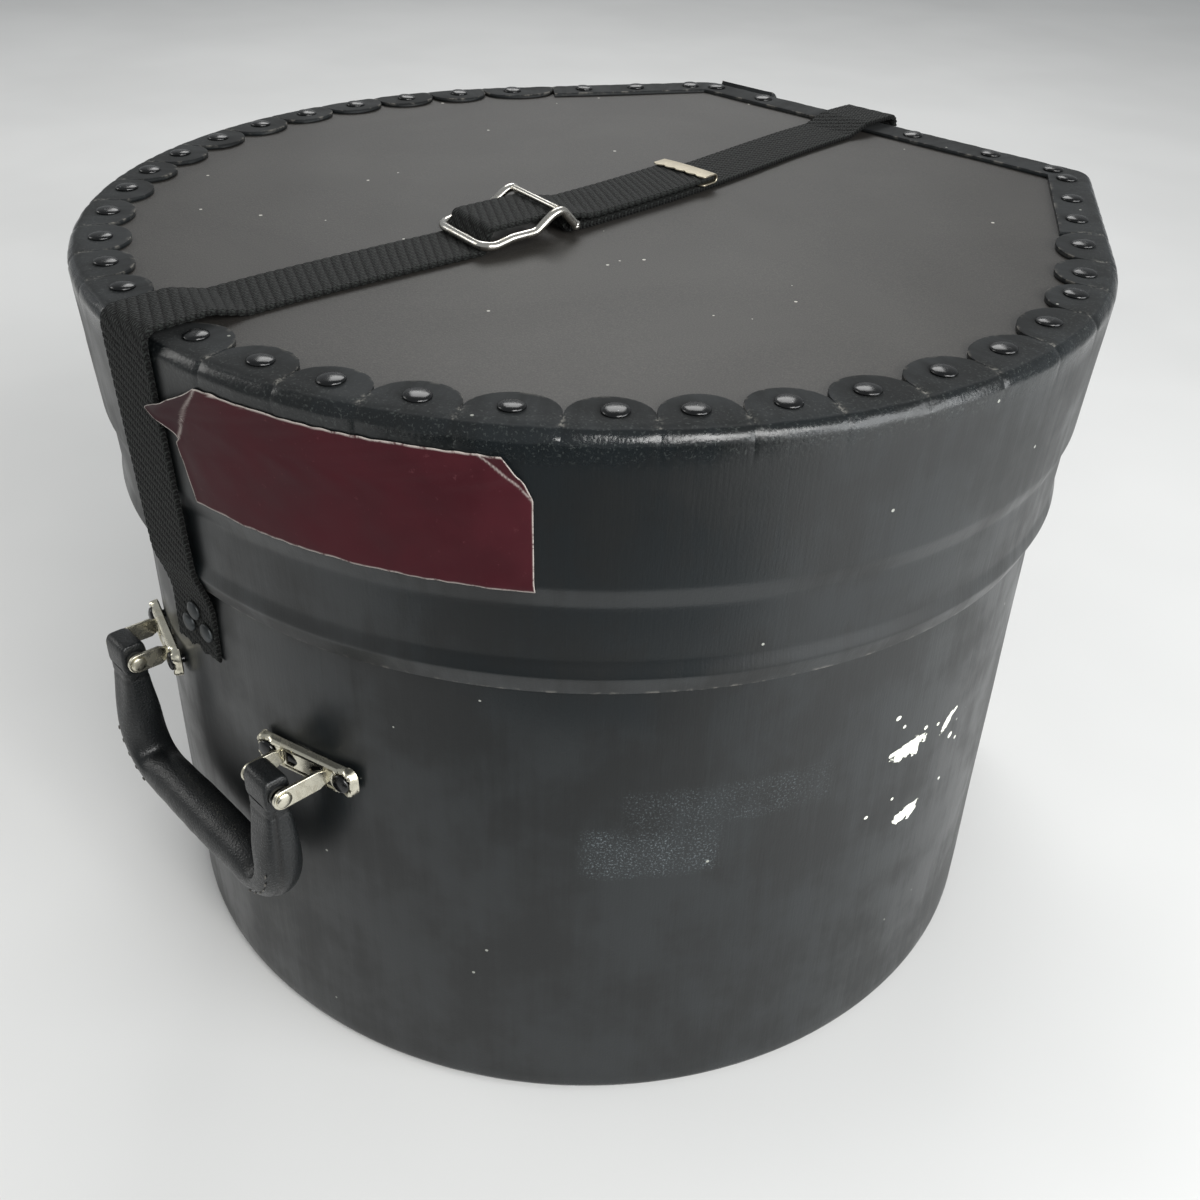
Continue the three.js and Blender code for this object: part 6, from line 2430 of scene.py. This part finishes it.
    def add_eyes(self, surface: Surface, place: Matrix) -> None:
        """Adds the loops of leather round the pins: rounded square rings with a bore.

        Args:
            surface: What they are added to.
            place: The grip's own frame.
        """
        h = self.sizes
        turn = np.linspace(0, TURN, 60, endpoint=False)
        c, s = np.cos(turn), np.sin(turn)
        square = superellipse(c, s, 4.0)
        edge = ((h.eye_radius - 0.7, 0), (h.eye_radius - 0.2, 0.25), (h.eye_radius, 0.9))
        flat = h.eye_depth / h.eye_radius
        half = [(h.eye_bore, 0, 1.0, 1.0), *[(radius, inset, square, flat) for radius, inset in edge]]
        wide = h.eye_width / 2
        for side in (-1, 1):
            grid = np.empty((2 * len(half), len(turn), 3))
            for k, (radius, inset, reach, depth) in enumerate([*half, *half[::-1]]):
                size = radius * reach
                grid[k, :, 0] = side * h.leg_x + (inset - wide if k < len(half) else wide - inset)
                grid[k, :, 1] = c * size * depth
                grid[k, :, 2] = s * size
            grid[..., 1:] += 0.04 * waves(turn[None] * 8, grid[..., 0], 71 + side, (4, 12), 10)[..., None]
            surface.grid(placed(grid, place), closed=RING)

    def add_stitches(self, surface: Surface, place: Matrix) -> None:
        """Adds short threads along the lower edge of each heel.

        Args:
            surface: What they are added to.
            place: The grip's own frame.
        """
        h = self.sizes
        middle = np.array([h.leg_x - h.bend, 0, -h.drop + h.bend])
        for side, count in ((1, 6), (-1, 5)):
            for a in np.linspace(-0.12, -1.25, count):
                out = np.array([math.cos(a), 0, math.sin(a)])
                away = np.array([math.sin(-a), 0, math.cos(a)])
                centre = middle + out * (h.bend + 3.9) + np.array([0, -7.35, 0])
                path = centre + np.linspace(-0.9, 0.9, 5)[:, None] * away
                path[:, 0] *= side
                grid = tube(path, (0.1, 0.3, 0.34, 0.3, 0.1), 8, (0, 1.0, 0))
                masks = blank_masks(grid)
                masks[..., 2] = 1
                surface.grid(placed(grid, place), closed=ROUND, masks=masks, caps=True)


# Stage


@dataclass(frozen=True)
class View:
    """The photograph's viewpoint, measured about the middle of the case's round side."""

    azimuth: float = 43.696
    elevation: float = 33.792
    roll: float = 1.744
    target: tuple = (29.5, -22.6, 126.7)
    distance: float = 534.0
    focal_share: float = 1.11725


@dataclass(frozen=True)
class Lamp:
    """An area light. Its place and width are in metres and its power in watts."""

    name: str
    spot: tuple
    size: float
    power: float
    color: tuple


LAMPS = (
    Lamp("front", (1.15, -0.45, 0.87), 0.62, 15.5, (1.0, 0.995, 0.98)),
    Lamp("right", (1.4, 0.3, 0.5), 1.0, 17, (0.97, 0.99, 1.0)),
    Lamp("left", (-1.3, -0.9, 0.9), 0.7, 4.5, (1.0, 0.99, 0.96)),
    Lamp("behind", (-0.95, 1.0, 1.6), 1.1, 15, (1.0, 1.0, 0.99)),
)
SURROUND_COLOR = (0.88, 0.91, 0.93, 1)
SURROUND_STRENGTH = 0.36
# The card's corners, in metres towards the camera and to its right
CARD_CORNERS = ((0.37, -0.3), (0.37, 0.3), (1.3, 0.6), (1.3, -0.6))


class Stage:
    """Camera, floor and light."""

    def __init__(self, view: View) -> None:
        """Keeps the viewpoint."""
        self.view = view

    def build(self) -> None:
        """Makes the stage."""
        self.add_camera()
        self.add_floor()
        self.add_light()

    def add_camera(self) -> None:
        """The camera at the photograph's viewpoint."""
        v = self.view
        az, el, roll = (math.radians(a) for a in (v.azimuth, v.elevation, v.roll))
        back = Vector((math.sin(az) * math.cos(el), -math.cos(az) * math.cos(el), math.sin(el)))
        right = Vector((0, 0, 1)).cross(back).normalized()
        up = back.cross(right)
        turned_right = right * math.cos(roll) + up * math.sin(roll)
        turned_up = up * math.cos(roll) - right * math.sin(roll)
        data = bpy.data.cameras.new("photo_camera")
        data.sensor_width = 36
        data.lens = 36 * v.focal_share
        data.clip_start, data.clip_end = 0.01, 20
        camera = bpy.data.objects.new("photo_camera", data)
        bpy.context.collection.objects.link(camera)
        turn = Matrix((turned_right, turned_up, back)).transposed().to_4x4()
        spot = (Vector(v.target) + back * v.distance + Vector((0, SHELL.middle_y, 0))) * MM
        camera.matrix_world = Matrix.Translation(spot) @ turn
        bpy.context.scene.camera = camera

    def add_floor(self) -> None:
        """A plain pale floor."""
        size = 6.0
        corners = ((-size, -size, 0), (size, -size, 0), (size, size, 0), (-size, size, 0))
        floor, shader = self.sheet("floor", corners)
        g = Graph(shader.id_data)
        where = g.node("TexCoord").outputs["Object"]
        tone = g.span(g.noise(where, 3, 3), 0.3, 0.7)
        g.feed(shader, {"Base Color": g.mix(tone, *(paint(shade) for shade in FLOOR_TONES))})
        floor.location.z = -0.0005

    def add_light(self) -> None:
        """Soft light: a dim surround, the lamps and a dark card that paints a shadow into reflections."""
        world = bpy.data.worlds.new("surround")
        world.use_nodes = True
        backdrop = world.node_tree.nodes["Background"]
        backdrop.inputs[0].default_value = SURROUND_COLOR
        backdrop.inputs[1].default_value = SURROUND_STRENGTH
        bpy.context.scene.world = world
        for lamp in LAMPS:
            self.add_lamp(lamp)
        self.add_card()

    def add_card(self) -> None:
        """A dark card below the camera, as the photographer stood there: a painted shadow on the floor that
        only reflections show.
        """
        turn = math.radians(self.view.azimuth)
        way = np.array([math.sin(turn), -math.cos(turn)])
        side = np.array([math.cos(turn), math.sin(turn)])
        corners = [way * a + side * b for a, b in CARD_CORNERS]
        card, shader = self.sheet("painted_shadow_card", [(float(c[0]), float(c[1]), 0.002) for c in corners])
        # painted shadow: the card's near black colour
        shader.inputs["Base Color"].default_value = paint(SHADOW_CARD)
        card.visible_camera = card.visible_diffuse = card.visible_shadow = False

    def sheet(self, name: str, corners: Sequence) -> tuple:
        """A flat piece of the stage with a dull material.

        Args:
            name: Name of the piece, of its mesh and of its material.
            corners: Its four corners, in metres.

        Returns:
            The object, and the shader of its material.
        """
        mesh = bpy.data.meshes.new(name)
        mesh.from_pydata(corners, [], [(0, 1, 2, 3)])
        material = bpy.data.materials.new(name)
        material.use_nodes = True
        shader = material.node_tree.nodes["Principled BSDF"]
        shader.inputs["Roughness"].default_value = 0.9
        mesh.materials.append(material)
        piece = bpy.data.objects.new(name, mesh)
        bpy.context.collection.objects.link(piece)
        return piece, shader

    def add_lamp(self, light: Lamp) -> None:
        """A square area light that faces the object.

        Args:
            light: What kind it is.
        """
        data = bpy.data.lights.new(light.name, "AREA")
        data.size = light.size
        data.energy = light.power
        data.color = light.color
        lamp = bpy.data.objects.new(light.name, data)
        lamp.location = light.spot
        aim = Vector((0, 0, 0.15)) - Vector(light.spot)
        lamp.rotation_euler = aim.to_track_quat("-Z", "Y").to_euler()
        bpy.context.collection.objects.link(lamp)


def main() -> None:
    """Builds the object and its stage."""
    logging.basicConfig(level=logging.INFO, format="%(name)s: %(message)s")
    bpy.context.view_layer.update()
    strap_sizes = StrapSizes()
    plan = Plan(SHELL)
    finishes = Finishes(strap_sizes)
    Lid(SHELL, plan, finishes).build()
    Case(SHELL, plan, finishes).build()
    strap = Strap(SHELL, strap_sizes, BuckleSizes(), finishes)
    strap.build()
    Buckle(strap).build()
    Handle(SHELL, HandleSizes(), finishes).build()
    Stage(View()).build()
    bpy.context.scene.view_settings.view_transform = "Standard"


if __name__ == "__main__":
    main()
